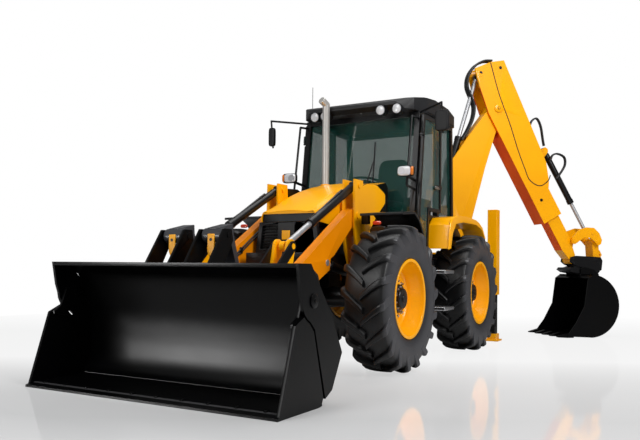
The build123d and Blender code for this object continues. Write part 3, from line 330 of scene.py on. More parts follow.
def pillow(centre: Array, half: Array, square: float = 0.25, count: int = 20) -> Mesh:
    """Box with soft corners, a superellipsoid.

    x = a c(v) c(u), y = b c(v) s(u), z = h s(v), where c and s are cosine and sine raised to the power
    `square` with their sign kept.

    Args:
        centre: its middle.
        half: half of its length, width and height.
        square: the power; the smaller it is, the sharper the corners.
        count: rows from its bottom to its top, and half of the points round it.

    Returns:
        The closed surface.
    """
    u = np.linspace(-math.pi, math.pi, 2 * count, endpoint=False)
    v = np.linspace(-math.pi / 2, math.pi / 2, count)
    cv, sv = raised(np.cos(v), square)[:, None], raised(np.sin(v), square)[:, None]
    cu, su = raised(np.cos(u), square)[None], raised(np.sin(u), square)[None]
    ball = np.stack([cv * cu, cv * su, sv * np.ones_like(cu)], axis=-1)
    return lattice(ball * np.asarray(half) + np.asarray(centre), ring_v=True, caps=True)


def box_ring(a: float, b: float) -> list:
    """Corners of a rectangle of half sizes a and b, in order."""
    return [(-a, -b), (a, -b), (a, b), (-a, b)]


def slab(outline: Array, low: float, high: float, place: Callable) -> Mesh:
    """Flat plate: an outline carried straight across.

    Args:
        outline: ring of (a, b) points.
        low: first face's distance across.
        high: second face's distance across.
        place: `flank` or `facing`, which turns (a, b, distance across) into points.

    Returns:
        The closed surface.
    """
    ring = np.asarray(outline, float)
    across = np.array([low, high])[:, None]
    return lattice(place(ring[None, :, 0], ring[None, :, 1], across), ring_v=True, caps=True)


def flank(x: Array, z: Array, y: Array) -> Array:
    """Points drawn as (x, z) on the machine's side, at a distance y from its centre plane."""
    return np.stack(np.broadcast_arrays(x, y, z), axis=-1).astype(float)


def facing(y: Array, z: Array, x: Array) -> Array:
    """Points drawn as (y, z) on the machine's front, at a distance x forward."""
    return np.stack(np.broadcast_arrays(x, y, z), axis=-1).astype(float)


def graded(spots: Array, table: tuple) -> Array:
    """Values read off a table of (place, value) pairs, along straight lines between them."""
    return np.interp(spots, *np.transpose(table))


# ---- shaders -----------------------------------------------------------------------------------------
class Value:
    """One output socket, or a plain number, that takes arithmetic: each sign adds a Math node."""

    def __init__(self, graph: "Tree", source: object) -> None:
        """Keeps the tree that the arithmetic's nodes go to."""
        self.graph, self.source = graph, source

    def _with(self, operation: str, other: object, turned_round: bool = False) -> "Value":
        """A Math node on this value and another, in either order."""
        pair = (other, self) if turned_round else (self, other)
        return self.graph.node("ShaderNodeMath", {"operation": operation}, {0: pair[0], 1: pair[1]})

    def __add__(self, other: object) -> "Value":
        """Sum."""
        return self._with("ADD", other)

    __radd__ = __add__

    def __mul__(self, other: object) -> "Value":
        """Product."""
        return self._with("MULTIPLY", other)

    __rmul__ = __mul__

    def __sub__(self, other: object) -> "Value":
        """Difference."""
        return self._with("SUBTRACT", other)

    def __rsub__(self, other: object) -> "Value":
        """Difference the other way round."""
        return self._with("SUBTRACT", other, True)

    def __pow__(self, other: object) -> "Value":
        """Power."""
        return self._with("POWER", other)

    def __abs__(self) -> "Value":
        """Size without sign."""
        return self.graph.node("ShaderNodeMath", {"operation": "ABSOLUTE"}, {0: self})

    def most(self, other: object) -> "Value":
        """The larger of two values."""
        return self._with("MAXIMUM", other)


class Tree:
    """A node tree, whose nodes all come by one method."""

    def __init__(self, tree: bpy.types.NodeTree) -> None:
        """Keeps the tree that nodes go to."""
        self.tree = tree

    def node(self, kind: str, settings: dict | None = None, inputs: dict | None = None,
             output: str | int | None = 0) -> Value:
        """Adds any node.

        Args:
            kind: the node's type.
            settings: attributes that are set first.
            inputs: socket name or number to a value, a Value or a tuple.
            output: name or number of the output that is handed back, or None for a node without outputs.

        Returns:
            That output as a Value.
        """
        node = self.tree.nodes.new(kind)
        for key, value in (settings or {}).items():
            setattr(node, key, value)
        for key, value in (inputs or {}).items():
            self.feed(node.inputs[key], value)
        return Value(self, None if output is None else node.outputs[output])

    def feed(self, socket: bpy.types.NodeSocket, value: object) -> None:
        """Puts a number, colour or Value into a socket."""
        if isinstance(value, Value):
            self.tree.links.new(value.source, socket)
        else:
            socket.default_value = value


class Graph(Tree):
    """Node tree of one material, laid out on the object's own coordinates."""

    def __init__(self, name: str) -> None:
        """Makes the material, its tree still empty but for the coordinates."""
        self.material = bpy.data.materials.new(name)
        self.material.use_nodes = True
        super().__init__(self.material.node_tree)
        self.tree.nodes.clear()
        self.objects = self.node("ShaderNodeTexCoord", output="Object")

    def along(self, axis: int) -> Value:
        """Distance in metres along the first, second or third axis."""
        return self.node("ShaderNodeSeparateXYZ", inputs={0: self.objects}, output=axis)

    def noise(self, scale: float, detail: float = 2.0, rough: float = 0.5,
              vector: Value | None = None) -> Value:
        """Soft noise from nought to one, at a scale in waves per metre."""
        inputs = {"Vector": vector or self.objects, "Scale": scale, "Detail": detail, "Roughness": rough}
        return self.node("ShaderNodeTexNoise", {"noise_dimensions": "3D"}, inputs)

    def ramp(self, value: Value, low: float, high: float) -> Value:
        """Nought below low, one above high and a straight slope between."""
        return self.node("ShaderNodeMapRange", {"clamp": True}, {0: value, 1: low, 2: high, 3: 0.0, 4: 1.0})

    def mix(self, factor: Value, a: object, b: object) -> Value:
        """Colour between a and b."""
        return self.node("ShaderNodeMix", {"data_type": "RGBA"}, {0: factor, 6: a, 7: b}, output=2)

    def bump(self, value: Value, depth: float, strength: float = 1.0) -> Value:
        """Normal from a height value, as deep as depth in metres."""
        return self.node("ShaderNodeBump", inputs={"Height": value, "Distance": depth, "Strength": strength})

    def surface(self, **inputs: object) -> Value:
        """Principled shader with its sockets fed; underscores in their names stand for spaces."""
        sockets = {key.replace("_", " "): value for key, value in inputs.items()}
        return self.node("ShaderNodeBsdfPrincipled", inputs=sockets)

    def closed(self, shader: Value) -> bpy.types.Material:
        """The material, with a shader wired to its output."""
        self.node("ShaderNodeOutputMaterial", inputs={0: shader}, output=None)
        return self.material


def srgb(red: int, green: int, blue: int) -> tuple:
    """Linear colour of display values.

    Args:
        red: from 0 to 255, as are green and blue.
        green: see red.
        blue: see red.

    Returns:
        Four numbers from nought to one, the last of them one.
    """
    values = np.array([red, green, blue]) / 255.0
    linear = np.where(values <= 0.04045, values / 12.92, ((values + 0.055) / 1.055) ** 2.4)
    return (*linear.tolist(), 1.0)


def darker(colour: tuple, share: float) -> tuple:
    """A linear colour at a share of its brightness."""
    return tuple(c * share for c in colour[:3]) + (1.0,)


@dataclass(frozen=True)
class Paint:
    """Sprayed paint: orange peel, faint patches, and dust that thickens toward the ground."""

    name: str
    colour: tuple
    shade: tuple
    roughness: float = 0.28
    coat: float = 0.2
    peel: float = 0.00012
    peel_scale: float = 230.0
    dust: tuple = srgb(96, 88, 76)
    dust_heights: tuple = (0.1, 1.1)
    dusty: float = 0.12
    shine: float = 0.35

    def build(self) -> bpy.types.Material:
        """Colour in two shades, with dust mixed in below waist height.

        Returns:
            The material.
        """
        g = Graph(self.name)
        patches = g.noise(1.7, detail=3.0)
        low = 1.0 - g.ramp(g.along(2), *self.dust_heights)
        specks = g.ramp(g.noise(38.0, detail=5.0, rough=0.7), 0.45, 0.72)
        dirt = low * specks * self.dusty + low * self.dusty * 0.25
        paint = g.mix(g.ramp(patches, 0.35, 0.7), self.colour, self.shade)
        return g.closed(g.surface(
            Base_Color=g.mix(dirt, paint, self.dust),
            Roughness=dirt * 0.9 + patches * 0.08 + (self.roughness - 0.04),
            Normal=g.bump(g.noise(self.peel_scale), self.peel),
            Coat_Weight=self.coat, Coat_Roughness=0.06, Specular_IOR_Level=self.shine))


@dataclass(frozen=True)
class Steel:
    """Bare or plated metal with fine drawn lines and faint clouding."""

    name: str
    colour: tuple
    roughness: float = 0.2
    metallic: float = 1.0
    lines: float = 0.00005
    line_scale: tuple = (900.0, 900.0, 40.0)

    def build(self) -> bpy.types.Material:
        """Clouded metal whose lines are a noise drawn out along the height.

        Returns:
            The material.
        """
        g = Graph(self.name)
        cloud = g.noise(9.0, detail=4.0, rough=0.6)
        stretched = g.node("ShaderNodeMapping", inputs={"Vector": g.objects, "Scale": self.line_scale})
        return g.closed(g.surface(
            Base_Color=g.mix(cloud, self.colour, darker(self.colour, 0.7)), Metallic=self.metallic,
            Roughness=cloud * 0.12 + (self.roughness - 0.05),
            Normal=g.bump(g.noise(1.0, vector=stretched), self.lines, strength=0.5)))


@dataclass(frozen=True)
class Moulded:
    """Moulded plastic or rubber with a fine pebbled grain."""

    name: str
    colour: tuple
    shade: tuple
    roughness: float = 0.5
    grain: float = 300.0
    depth: float = 0.0003
    shine: float = 0.4

    def build(self) -> bpy.types.Material:
        """Two clouded shades under a grain of small cells.

        Returns:
            The material.
        """
        g = Graph(self.name)
        pebbles = {"Vector": g.objects, "Scale": self.grain}
        cells = g.node("ShaderNodeTexVoronoi", {"feature": "SMOOTH_F1"}, pebbles)
        cloud = g.noise(3.5, detail=4.0, rough=0.6)
        return g.closed(g.surface(
            Base_Color=g.mix(g.ramp(cloud, 0.35, 0.7), self.colour, self.shade),
            Roughness=cloud * 0.15 + (self.roughness - 0.07),
            Normal=g.bump(cells, self.depth), Specular_IOR_Level=self.shine))


@dataclass(frozen=True)
class TyreRubber:
    """Black tyre rubber whose outer wall pales with painted light, and dust caught low on its blocks."""

    name: str
    colour: tuple
    bloom: tuple
    # colour of the light painted on the outer wall
    wall: tuple
    lit_wall_reach: tuple = (1.135, 1.172)   # distances from the centre plane between which the outer wall pales with painted light
    dust_height: float = 0.35

    def build(self) -> bpy.types.Material:
        """Rubber that pales in patches and near the ground, and at the outer wall with painted light.

        Returns:
            The material.
        """
        g = Graph(self.name)
        cloud = g.noise(5.0, detail=5.0, rough=0.65)
        fine = g.noise(120.0, detail=3.0, rough=0.6)
        low = 1.0 - g.ramp(g.along(2), 0.0, self.dust_height)
        bloom = g.ramp(cloud, 0.42, 0.75) * 0.35 + low * g.ramp(fine, 0.45, 0.65) * 0.4
        # painted light: the outer wall pales as if lit from the side
        outer = g.ramp(abs(g.along(1) + MIDDLE[1]), *self.lit_wall_reach)
        tread = g.mix(bloom, self.colour, self.bloom)
        return g.closed(g.surface(
            Base_Color=g.mix(outer * (0.35 + cloud * 0.5), tread, self.wall), Roughness=0.46 - fine * 0.10,
            Normal=g.bump(fine, 0.0006), Specular_IOR_Level=0.4))


@dataclass(frozen=True)
class Glass:
    """Thin tinted pane that keeps its tint in every view, a little smeared."""

    name: str
    colour: tuple
    alpha: float

    def build(self) -> bpy.types.Material:
        """Smooth tinted sheet that lets through what its alpha leaves.

        Returns:
            The material.
        """
        g = Graph(self.name)
        smear = g.noise(4.0, detail=3.0, rough=0.6)
        return g.closed(g.surface(
            Base_Color=g.mix(smear, self.colour, darker(self.colour, 0.8)), Roughness=smear * 0.05 + 0.02,
            Alpha=self.alpha + smear * 0.06, Coat_Weight=1.0, Coat_Roughness=0.02))


@dataclass(frozen=True)
class Cloth:
    """Woven seat fabric: crossed threads drawn from the object's own coordinates."""

    name: str
    colour: tuple
    shade: tuple
    threads: float = 130.0

    def build(self) -> bpy.types.Material:
        """Threads as the crests of waves along the three axes.

        Returns:
            The material.
        """
        g = Graph(self.name)
        bands = {"wave_type": "BANDS", "wave_profile": "SIN"}
        thread = {"Vector": g.objects, "Scale": self.threads, "Distortion": 0.4}
        x, y, z = (g.node("ShaderNodeTexWave", {**bands, "bands_direction": axis}, thread, output=1)
                   for axis in "XYZ")
        weave = x.most(y).most(z)
        cloud = g.noise(14.0, detail=3.0)
        return g.closed(g.surface(
            Base_Color=g.mix(weave * 0.6 + cloud * 0.3, self.shade, self.colour),
            Roughness=0.85 - cloud * 0.1, Normal=g.bump(weave, 0.0008), Sheen_Weight=0.2))


YELLOW = Paint("yellow_paint", srgb(252, 174, 0), srgb(246, 166, 0), 0.3, shine=0.16)
ORANGE = Paint("deep_yellow_paint", srgb(240, 142, 2), srgb(230, 130, 0), 0.32, shine=0.25)
# painted shade: a deeper orange on the dipper's underside, standing in for the shade that falls under it
PAINTED_SHADE_ORANGE = Paint("shaded_paint", srgb(250, 96, 0), srgb(238, 84, 0), 0.5, 0.0, shine=0.15)
ROOF = Moulded("roof_plastic", srgb(30, 30, 32), srgb(25, 25, 27), 0.42, shine=0.3)
BLACK = Paint("black_paint", srgb(8, 8, 10), srgb(5, 5, 7), 0.32, 0.05, dusty=0.05, shine=0.3)
SHOVEL_BLACK = Paint("shovel_black", srgb(3, 3, 4), srgb(2, 2, 2), 0.3, 0.0, dusty=0.0, shine=0.16)
FORK_GREY = Paint("fork_grey", srgb(58, 59, 63), srgb(44, 45, 48), 0.4, 0.1, dusty=0.05, shine=0.3)
# the third colour is light painted on the tyres' outer walls
RUBBER = TyreRubber("tyre_rubber", srgb(4, 4, 5), srgb(11, 11, 12), srgb(78, 78, 82))
PLASTIC = Moulded("black_plastic", srgb(11, 11, 13), srgb(7, 7, 9), shine=0.3)
HOSE = Moulded("hose_rubber", srgb(12, 12, 13), srgb(20, 20, 21), 0.4, 500.0, 0.0002)
IRON = Moulded("engine_iron", srgb(38, 38, 40), srgb(24, 24, 26), 0.6, 90.0, 0.0008)
CHROME = Steel("chrome_rod", srgb(206, 207, 210), 0.38, 0.75, 0.00001)
STACK = Steel("exhaust_steel", srgb(214, 211, 206), 0.3, 0.6)
WORN = Steel("worn_steel", srgb(120, 120, 122), 0.42, 0.9, 0.0002)
BRIGHT = Steel("zinc_steel", srgb(190, 190, 192), 0.3)
GLASS = Glass("window_glass", srgb(30, 76, 68), 0.42)
LENS = Glass("lamp_lens", srgb(240, 242, 245), 0.75)
REFLECTOR = Glass("red_reflector", srgb(225, 60, 20), 0.9)
AMBER = Glass("amber_lens", srgb(240, 130, 20), 0.8)
FABRIC = Cloth("seat_fabric", srgb(48, 48, 52), srgb(26, 26, 29))
Finish = Paint | Steel | Moulded | TyreRubber | Glass | Cloth
MADE: dict[str, bpy.types.Material] = {}


def material(finish: Finish) -> bpy.types.Material:
    """The finish's material, built once."""
    if finish.name not in MADE:
        MADE[finish.name] = finish.build()
    return MADE[finish.name]


# ---- pieces ------------------------------------------------------------------------------------------
class Body(Enum):
    """Bodies of the frame that pieces ride on."""

    CHASSIS = "chassis_body"
    BONNET = "bonnet"
    ARMS = "loader_arms"
    SHOVEL = "shovel"
    JAW = "clam_jaw"
    FORKS = "forks"
    KINGPOST = "kingpost"
    BOOM = "boom"
    OUTER = "outer_dipper"
    INNER = "inner_dipper"
    LEVER = "tipping_lever"
    LINK = "tipping_link"
    BUCKET = "digging_bucket"
    CARRIAGE = "sideshift_carriage"


PaintedPart = tuple[Finish, Callable[[Array], Array]]   # a finish, and what picks its faces by their middles


def shaded(obj: bpy.types.Object, smooth: float) -> None:
    """Smooth shading with the edges sharper than an angle in degrees kept crisp."""
    obj.data.shade_smooth()
    chosen = [obj]
    with bpy.context.temp_override(object=obj, active_object=obj, selected_objects=chosen,
                                   selected_editable_objects=chosen):
        bpy.ops.object.shade_smooth_by_angle(angle=math.radians(smooth))


def rounded(obj: bpy.types.Object, width: float) -> None:
    """Bevel modifier on the edges sharper than 30 degrees."""
    bevel = obj.modifiers.new("edges", "BEVEL")
    bevel.width, bevel.segments = width, 2
    bevel.limit_method, bevel.angle_limit = "ANGLE", math.radians(30)
    bevel.harden_normals = False


def placed(data: bpy.types.Mesh, body: Body | str | None, bevel: float, smooth: float,
           nodes: tuple) -> bpy.types.Object:
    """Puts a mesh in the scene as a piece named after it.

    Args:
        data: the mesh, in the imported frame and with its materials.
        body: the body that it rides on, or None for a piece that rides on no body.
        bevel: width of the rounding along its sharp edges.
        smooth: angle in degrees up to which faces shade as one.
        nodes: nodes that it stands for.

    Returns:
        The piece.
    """
    obj = bpy.data.objects.new(data.name, data)
    bpy.context.scene.collection.objects.link(obj)
    shaded(obj, smooth)
    if bevel:
        rounded(obj, bevel)
    if body:
        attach(obj, body.value if isinstance(body, Body) else body)
    if nodes:
        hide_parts(*nodes)
    LOG.info("piece %s: %d faces", data.name, len(data.polygons))
    return obj


def piece(name: str, mesh: Mesh, finish: Finish, body: Body | str | None, bevel: float = 0.0,
          smooth: float = 35.0, replaces: tuple = ()) -> bpy.types.Object:
    """Puts a worked-out surface, given in the machine's frame, in the scene.

    Args:
        name: the piece's name.
        mesh: its surface.
        finish: its finish.
        body: the body that it rides on, or None for a piece that rides on no body.
        bevel: width of the rounding along its sharp edges.
        smooth: angle in degrees up to which faces shade as one.
        replaces: nodes that it stands for.

    Returns:
        The piece.
    """
    data = Mesh(at(mesh.points), mesh.quads, mesh.caps).data(name)
    data.materials.append(material(finish))
    return placed(data, body, bevel, smooth, replaces)


def softened(node: str, finish: Finish, body: Body | str, width: float = 0.005,
             other: PaintedPart | None = None) -> None:
    """Stands a CAD node's merged copy with rounded edges in for the node.

    Args:
        node: the node's name.
        finish: its finish.
        body: the body that it rides on.
        width: rounding of its edges.
        other: a second finish, and a function that picks the faces that take it from their middles, given
            in the machine's frame.
    """
    work = bmesh.new()
    work.from_mesh(frame["nodes"][node].data)
    bmesh.ops.remove_doubles(work, verts=work.verts, dist=1e-5)
    bmesh.ops.dissolve_limit(work, angle_limit=math.radians(1.0), verts=work.verts, edges=work.edges)
    data = bpy.data.meshes.new(node + "_soft")
    work.to_mesh(data)
    work.free()
    data.materials.clear()
    data.materials.append(material(finish))
    if other:
        second, picked = other
        middles = np.zeros(len(data.polygons) * 3, dtype=np.float32)
        data.polygons.foreach_get("center", middles)
        data.materials.append(material(second))
        data.polygons.foreach_set("material_index", picked(middles.reshape(-1, 3) + MIDDLE).astype(np.int32))
    placed(data, body, width, 35.0, (node,))


def near(point: Array, reach: float) -> Callable[[Array], Array]:
    """Function that picks the faces within a distance of a point of the machine's frame."""
    return lambda middles: np.linalg.norm(middles - np.asarray(point, float), axis=1) < reach


def near_both(point: Array, reach: float) -> Callable[[Array], Array]:
    """As `near`, for a point and its mirror image on the machine's other side."""
    return lambda middles: near(point, reach)(middles) | near(point, reach)(middles * MIRROR)


def dress(node: str, finish: Finish) -> None:
    """Gives a CAD node its finish and leaves its shape."""
    obj = frame["nodes"][node]
    obj.data.materials.clear()
    obj.data.materials.append(material(finish))


# ---- wheels ------------------------------------------------------------------------------------------
@dataclass(frozen=True)
class WheelPlace:
    """Where a wheel stands and the body that it turns with."""

    end: str
    hand: str
    x: float
    side: int

    @property
    def name(self) -> str:
        """What the names of the wheel's nodes and of its body begin with."""
        return f"{self.end}_{self.hand}"

    @property
    def body(self) -> str:
        """Name of the wheel's body."""
        return f"{self.name}_wheel"

    @property
    def centre(self) -> Array:
        """Middle of the tyre."""
        return np.array([self.x, self.side * 0.955, 0.705])


WHEELBASE = 2.22
WHEELS = [WheelPlace(end, hand, x, side) for end, x in (("front", WHEELBASE), ("rear", 0.0))
          for hand, side in zip(HANDS, (1, -1))]


@dataclass
class Tyre:
    """Tractor tyre: a carcass of revolution and two rows of lugs that meet in a chevron."""

    radius: float = 0.703
    lugs: int = 18
    lug_half: float = 0.033
    sweep: float = 0.34
    lead: float = 0.13        # how far a lug starts ahead of its place, in radians
    points: int = 60          # points of the carcass's line that lugs are laid along
    reach: float = 36.0       # how many of them a lug runs over
    half_width: float = 0.2145
    shoulder: float = 0.186   # distance from the middle plane where the lugs' tops start to slope down
    carcass: tuple = (  # radius, distance from the middle plane
        (0.362, 0.160), (0.383, 0.179), (0.398, 0.195), (0.440, 0.208), (0.500, 0.213), (0.560, 0.211),
        (0.615, 0.201), (0.645, 0.180), (0.657, 0.130), (0.661, 0.060), (0.662, 0.0))
    # along a lug, from nought at the tread's middle to one at its end
    overlap: tuple = ((0.0, -0.012), (0.15, 0.0))
    heights: tuple = ((0.0, 0.041), (0.62, 0.043), (0.80, 0.038), (0.92, 0.026), (1.0, 0.004))
    widths: tuple = ((0.0, 0.78), (0.3, 0.9), (0.8, 1.15), (1.0, 1.05))
    # across a lug: place as a share of its half width, and share of its height
    section: tuple = ((-1.25, -0.15), (-0.95, 0.82), (-0.55, 1.0), (0.55, 1.0), (0.95, 0.82), (1.25, -0.15))

    def line(self, count: int) -> Array:
        """Smooth half of the carcass from its middle to the bead, as (radius, distance) pairs."""
        return smooth_line(np.array(self.carcass[::-1]), count)

    def shell(self) -> Mesh:
        """The carcass, closed on itself."""
        half = self.line(22)
        profile = np.vstack([half[::-1] * [1, -1], half[1:]])
        return turned(profile, (0, 0, 0), (0, 1, 0), 88, ring=True)

    def lug_row(self, side: int) -> Mesh:
        """One row of lugs.

        A lug follows the carcass's line from just across its middle to half way down the side wall, while it
        turns round the axle by `sweep` radians.  Its cross-section is a trapezium whose height fades at the
        end: tall over the tread, low on the side wall.

        Args:
            side: 1 for the lugs left of the middle plane, -1 for those right of it.

        Returns:
            All lugs of the row.
        """
        line, index = self.line(self.points), np.arange(self.points)
        u = np.linspace(0.0, 1.0, 15)
        reach = u * self.reach
        spots = np.stack([np.interp(reach, index, line[:, k]) for k in range(2)], axis=1)
        step = np.gradient(line, axis=0)
        normal = np.stack([step[:, 1], -step[:, 0]], axis=1)
        normal /= np.linalg.norm(normal, axis=1)[:, None]
        normal = np.stack([np.interp(reach, index, np.abs(normal[:, k])) for k in range(2)], axis=1)
        spots[:, 1] += graded(u, self.overlap)
        half = self.lug_half * graded(u, self.widths)
        across, lift = np.transpose(self.section)
        turn = self.sweep * u**0.8
        start = 2 * math.pi * (np.arange(self.lugs) + (0.5 if side > 0 else 0.0)) / self.lugs - self.lead
        h = graded(u, self.heights)[:, None] * lift[None]
        r = spots[:, :1] + h * normal[:, :1]
        y = side * np.minimum(spots[:, 1:] + h * normal[:, 1:], self.half_width)
        r = np.minimum(r, self.radius - np.maximum(np.abs(y) - self.shoulder, 0.0))
        spread = across[None] * half[:, None] / spots[:, :1]
        angle = start[:, None, None] + turn[None, :, None] + spread[None]
        rings = []
        for k in range(self.lugs):
            grid = np.stack([r * np.cos(angle[k]), y + 0 * r, r * np.sin(angle[k])], axis=-1)
            rings.append(lattice(grid, ring_v=True, caps=True))
        return joined(rings)

    def build(self) -> None:
        """Four tyres, whose lugs meet the ground middle first when the machine runs ahead."""
        tyre = self.shell() + (self.lug_row(1) + self.lug_row(-1))
        for wheel in WHEELS:
            mesh = tyre.moved(np.eye(3), wheel.centre)
            piece(f"{wheel.body}_tyre", mesh, RUBBER, wheel.body, 0.004, replaces=(f"{wheel.name}_tyre",))


def hex_heads(places: Array, axis: Array, radius: float, height: float) -> Mesh:
    """Hexagon bolt heads on washers, all along one axis.

    Args:
        places: where they sit.
        axis: the way they point.
        radius: from a head's middle to its corners.
        height: from the seat to a head's top.

    Returns:
        Heads and washers.
    """
    washer = ((radius * 1.5, -0.002), (radius * 1.5, height * 0.25), (radius * 1.2, height * 0.25))
    head = ((radius, 0.0), (radius, height * 0.85), (radius * 0.86, height), (radius * 0.1, height))
    return joined([turned(washer, spot, axis, 12) + turned(head, spot, axis, 6) for spot in places])


@dataclass
class Wheel:
    """Rim with stepped flanges, a dished disc, a dark hub with its ring of nuts."""

    nuts: int = 10
    # radius of the circle, its distance outward, and a head's radius and height
    nut_circle: tuple = (0.168, 0.046, (0.014, 0.022))
    cap_circle: tuple = (0.108, 0.082, (0.009, 0.012))
    # radius, distance outward from the middle plane
    rim: tuple = (
        (0.352, -0.190), (0.381, -0.190), (0.3808, -0.182), (0.361, -0.166), (0.357, -0.120), (0.322, -0.090),
        (0.318, 0.060), (0.357, 0.120), (0.361, 0.166), (0.3808, 0.182), (0.381, 0.190), (0.352, 0.190),
        (0.346, 0.168), (0.343, 0.128), (0.306, 0.070), (0.300, 0.030), (0.285, 0.012), (0.240, 0.004),
        (0.200, 0.030), (0.150, 0.052), (0.060, 0.052), (0.060, 0.036), (0.145, 0.036), (0.196, 0.014),
        (0.236, -0.012), (0.285, -0.006), (0.304, -0.020), (0.306, -0.084), (0.343, -0.112), (0.346, -0.168))
    hub: tuple = (
        (0.13, -0.134), (0.13, -0.06), (0.138, -0.05), (0.138, 0.070), (0.12972, 0.080), (0.10488, 0.084),
        (0.09936, 0.108), (0.09108, 0.116), (0.0414, 0.118), (0.03864, 0.128), (0.004, 0.129))
    valve: tuple = ((0.29, 0.055), (0.294, 0.09), (0.285, 0.12))   # ahead of the axle, outward

    def build(self) -> None:
        """Rims, hubs and nuts of the four wheels."""
        for wheel in WHEELS:
            axis = (0, wheel.side, 0)
            rim = turned(self.rim, wheel.centre, axis, 72, ring=True)
            piece(f"{wheel.body}_rim", rim, YELLOW, wheel.body, 0.003, replaces=(f"{wheel.name}_rim",))
            piece(f"{wheel.body}_hub", turned(self.hub, wheel.centre, axis), BLACK, wheel.body, 0.002)
            nuts, caps = (hex_heads(around(wheel.centre, axis, radius, self.nuts, lift), axis, *size)
                          for radius, lift, size in (self.nut_circle, self.cap_circle))
            piece(f"{wheel.body}_nuts", nuts + caps, BRIGHT, wheel.body)
            ahead, out = np.transpose(self.valve)
            valve = pipe(smooth_line(wheel.centre + flank(ahead, 0.0, wheel.side * out), 8), 0.005, 8)
            piece(f"{wheel.body}_valve", valve, BLACK, wheel.body)


# ---- chassis and engine ------------------------------------------------------------------------------
@dataclass
class Chassis:
    """Rails, axles, knuckles, towers, boxes and what stays as the CAD made it but for its edges."""

    edge: float = 0.005

    def build(self) -> None:
        """Softens the nodes that need no new shape."""
        softened("chassis", BLACK, Body.CHASSIS, self.edge, (YELLOW, self.legs))
        softened("loader_towers", YELLOW, Body.CHASSIS, self.edge)
        softened("axles", BLACK, Body.CHASSIS, 0.008)
        softened("engine", IRON, Body.CHASSIS, 0.012)
        softened("side_boxes", BLACK, Body.CHASSIS, 0.012, (BRIGHT, self.steps))
        for wheel in WHEELS:
            softened(f"{wheel.name}_knuckle", BLACK, f"{wheel.name}_knuckle", 0.006)
        for hand in HANDS:
            softened(f"{hand}_stabiliser", BLACK, f"{hand}_stabiliser", 0.005, (YELLOW, self.feet))

    def steps(self, middles: Array) -> Array:
        """Faces of the steps that stand out of the boxes."""
        return np.abs(middles[:, 1]) > 0.885

    def feet(self, middles: Array) -> Array:
        """Faces of the stabilisers' feet."""
        return middles[:, 2] < 0.145

    def legs(self, middles: Array) -> Array:
        """Faces of the outer legs of the stabilisers."""
        return (middles[:, 0] < -1.2) & (np.abs(middles[:, 1]) > 0.87)


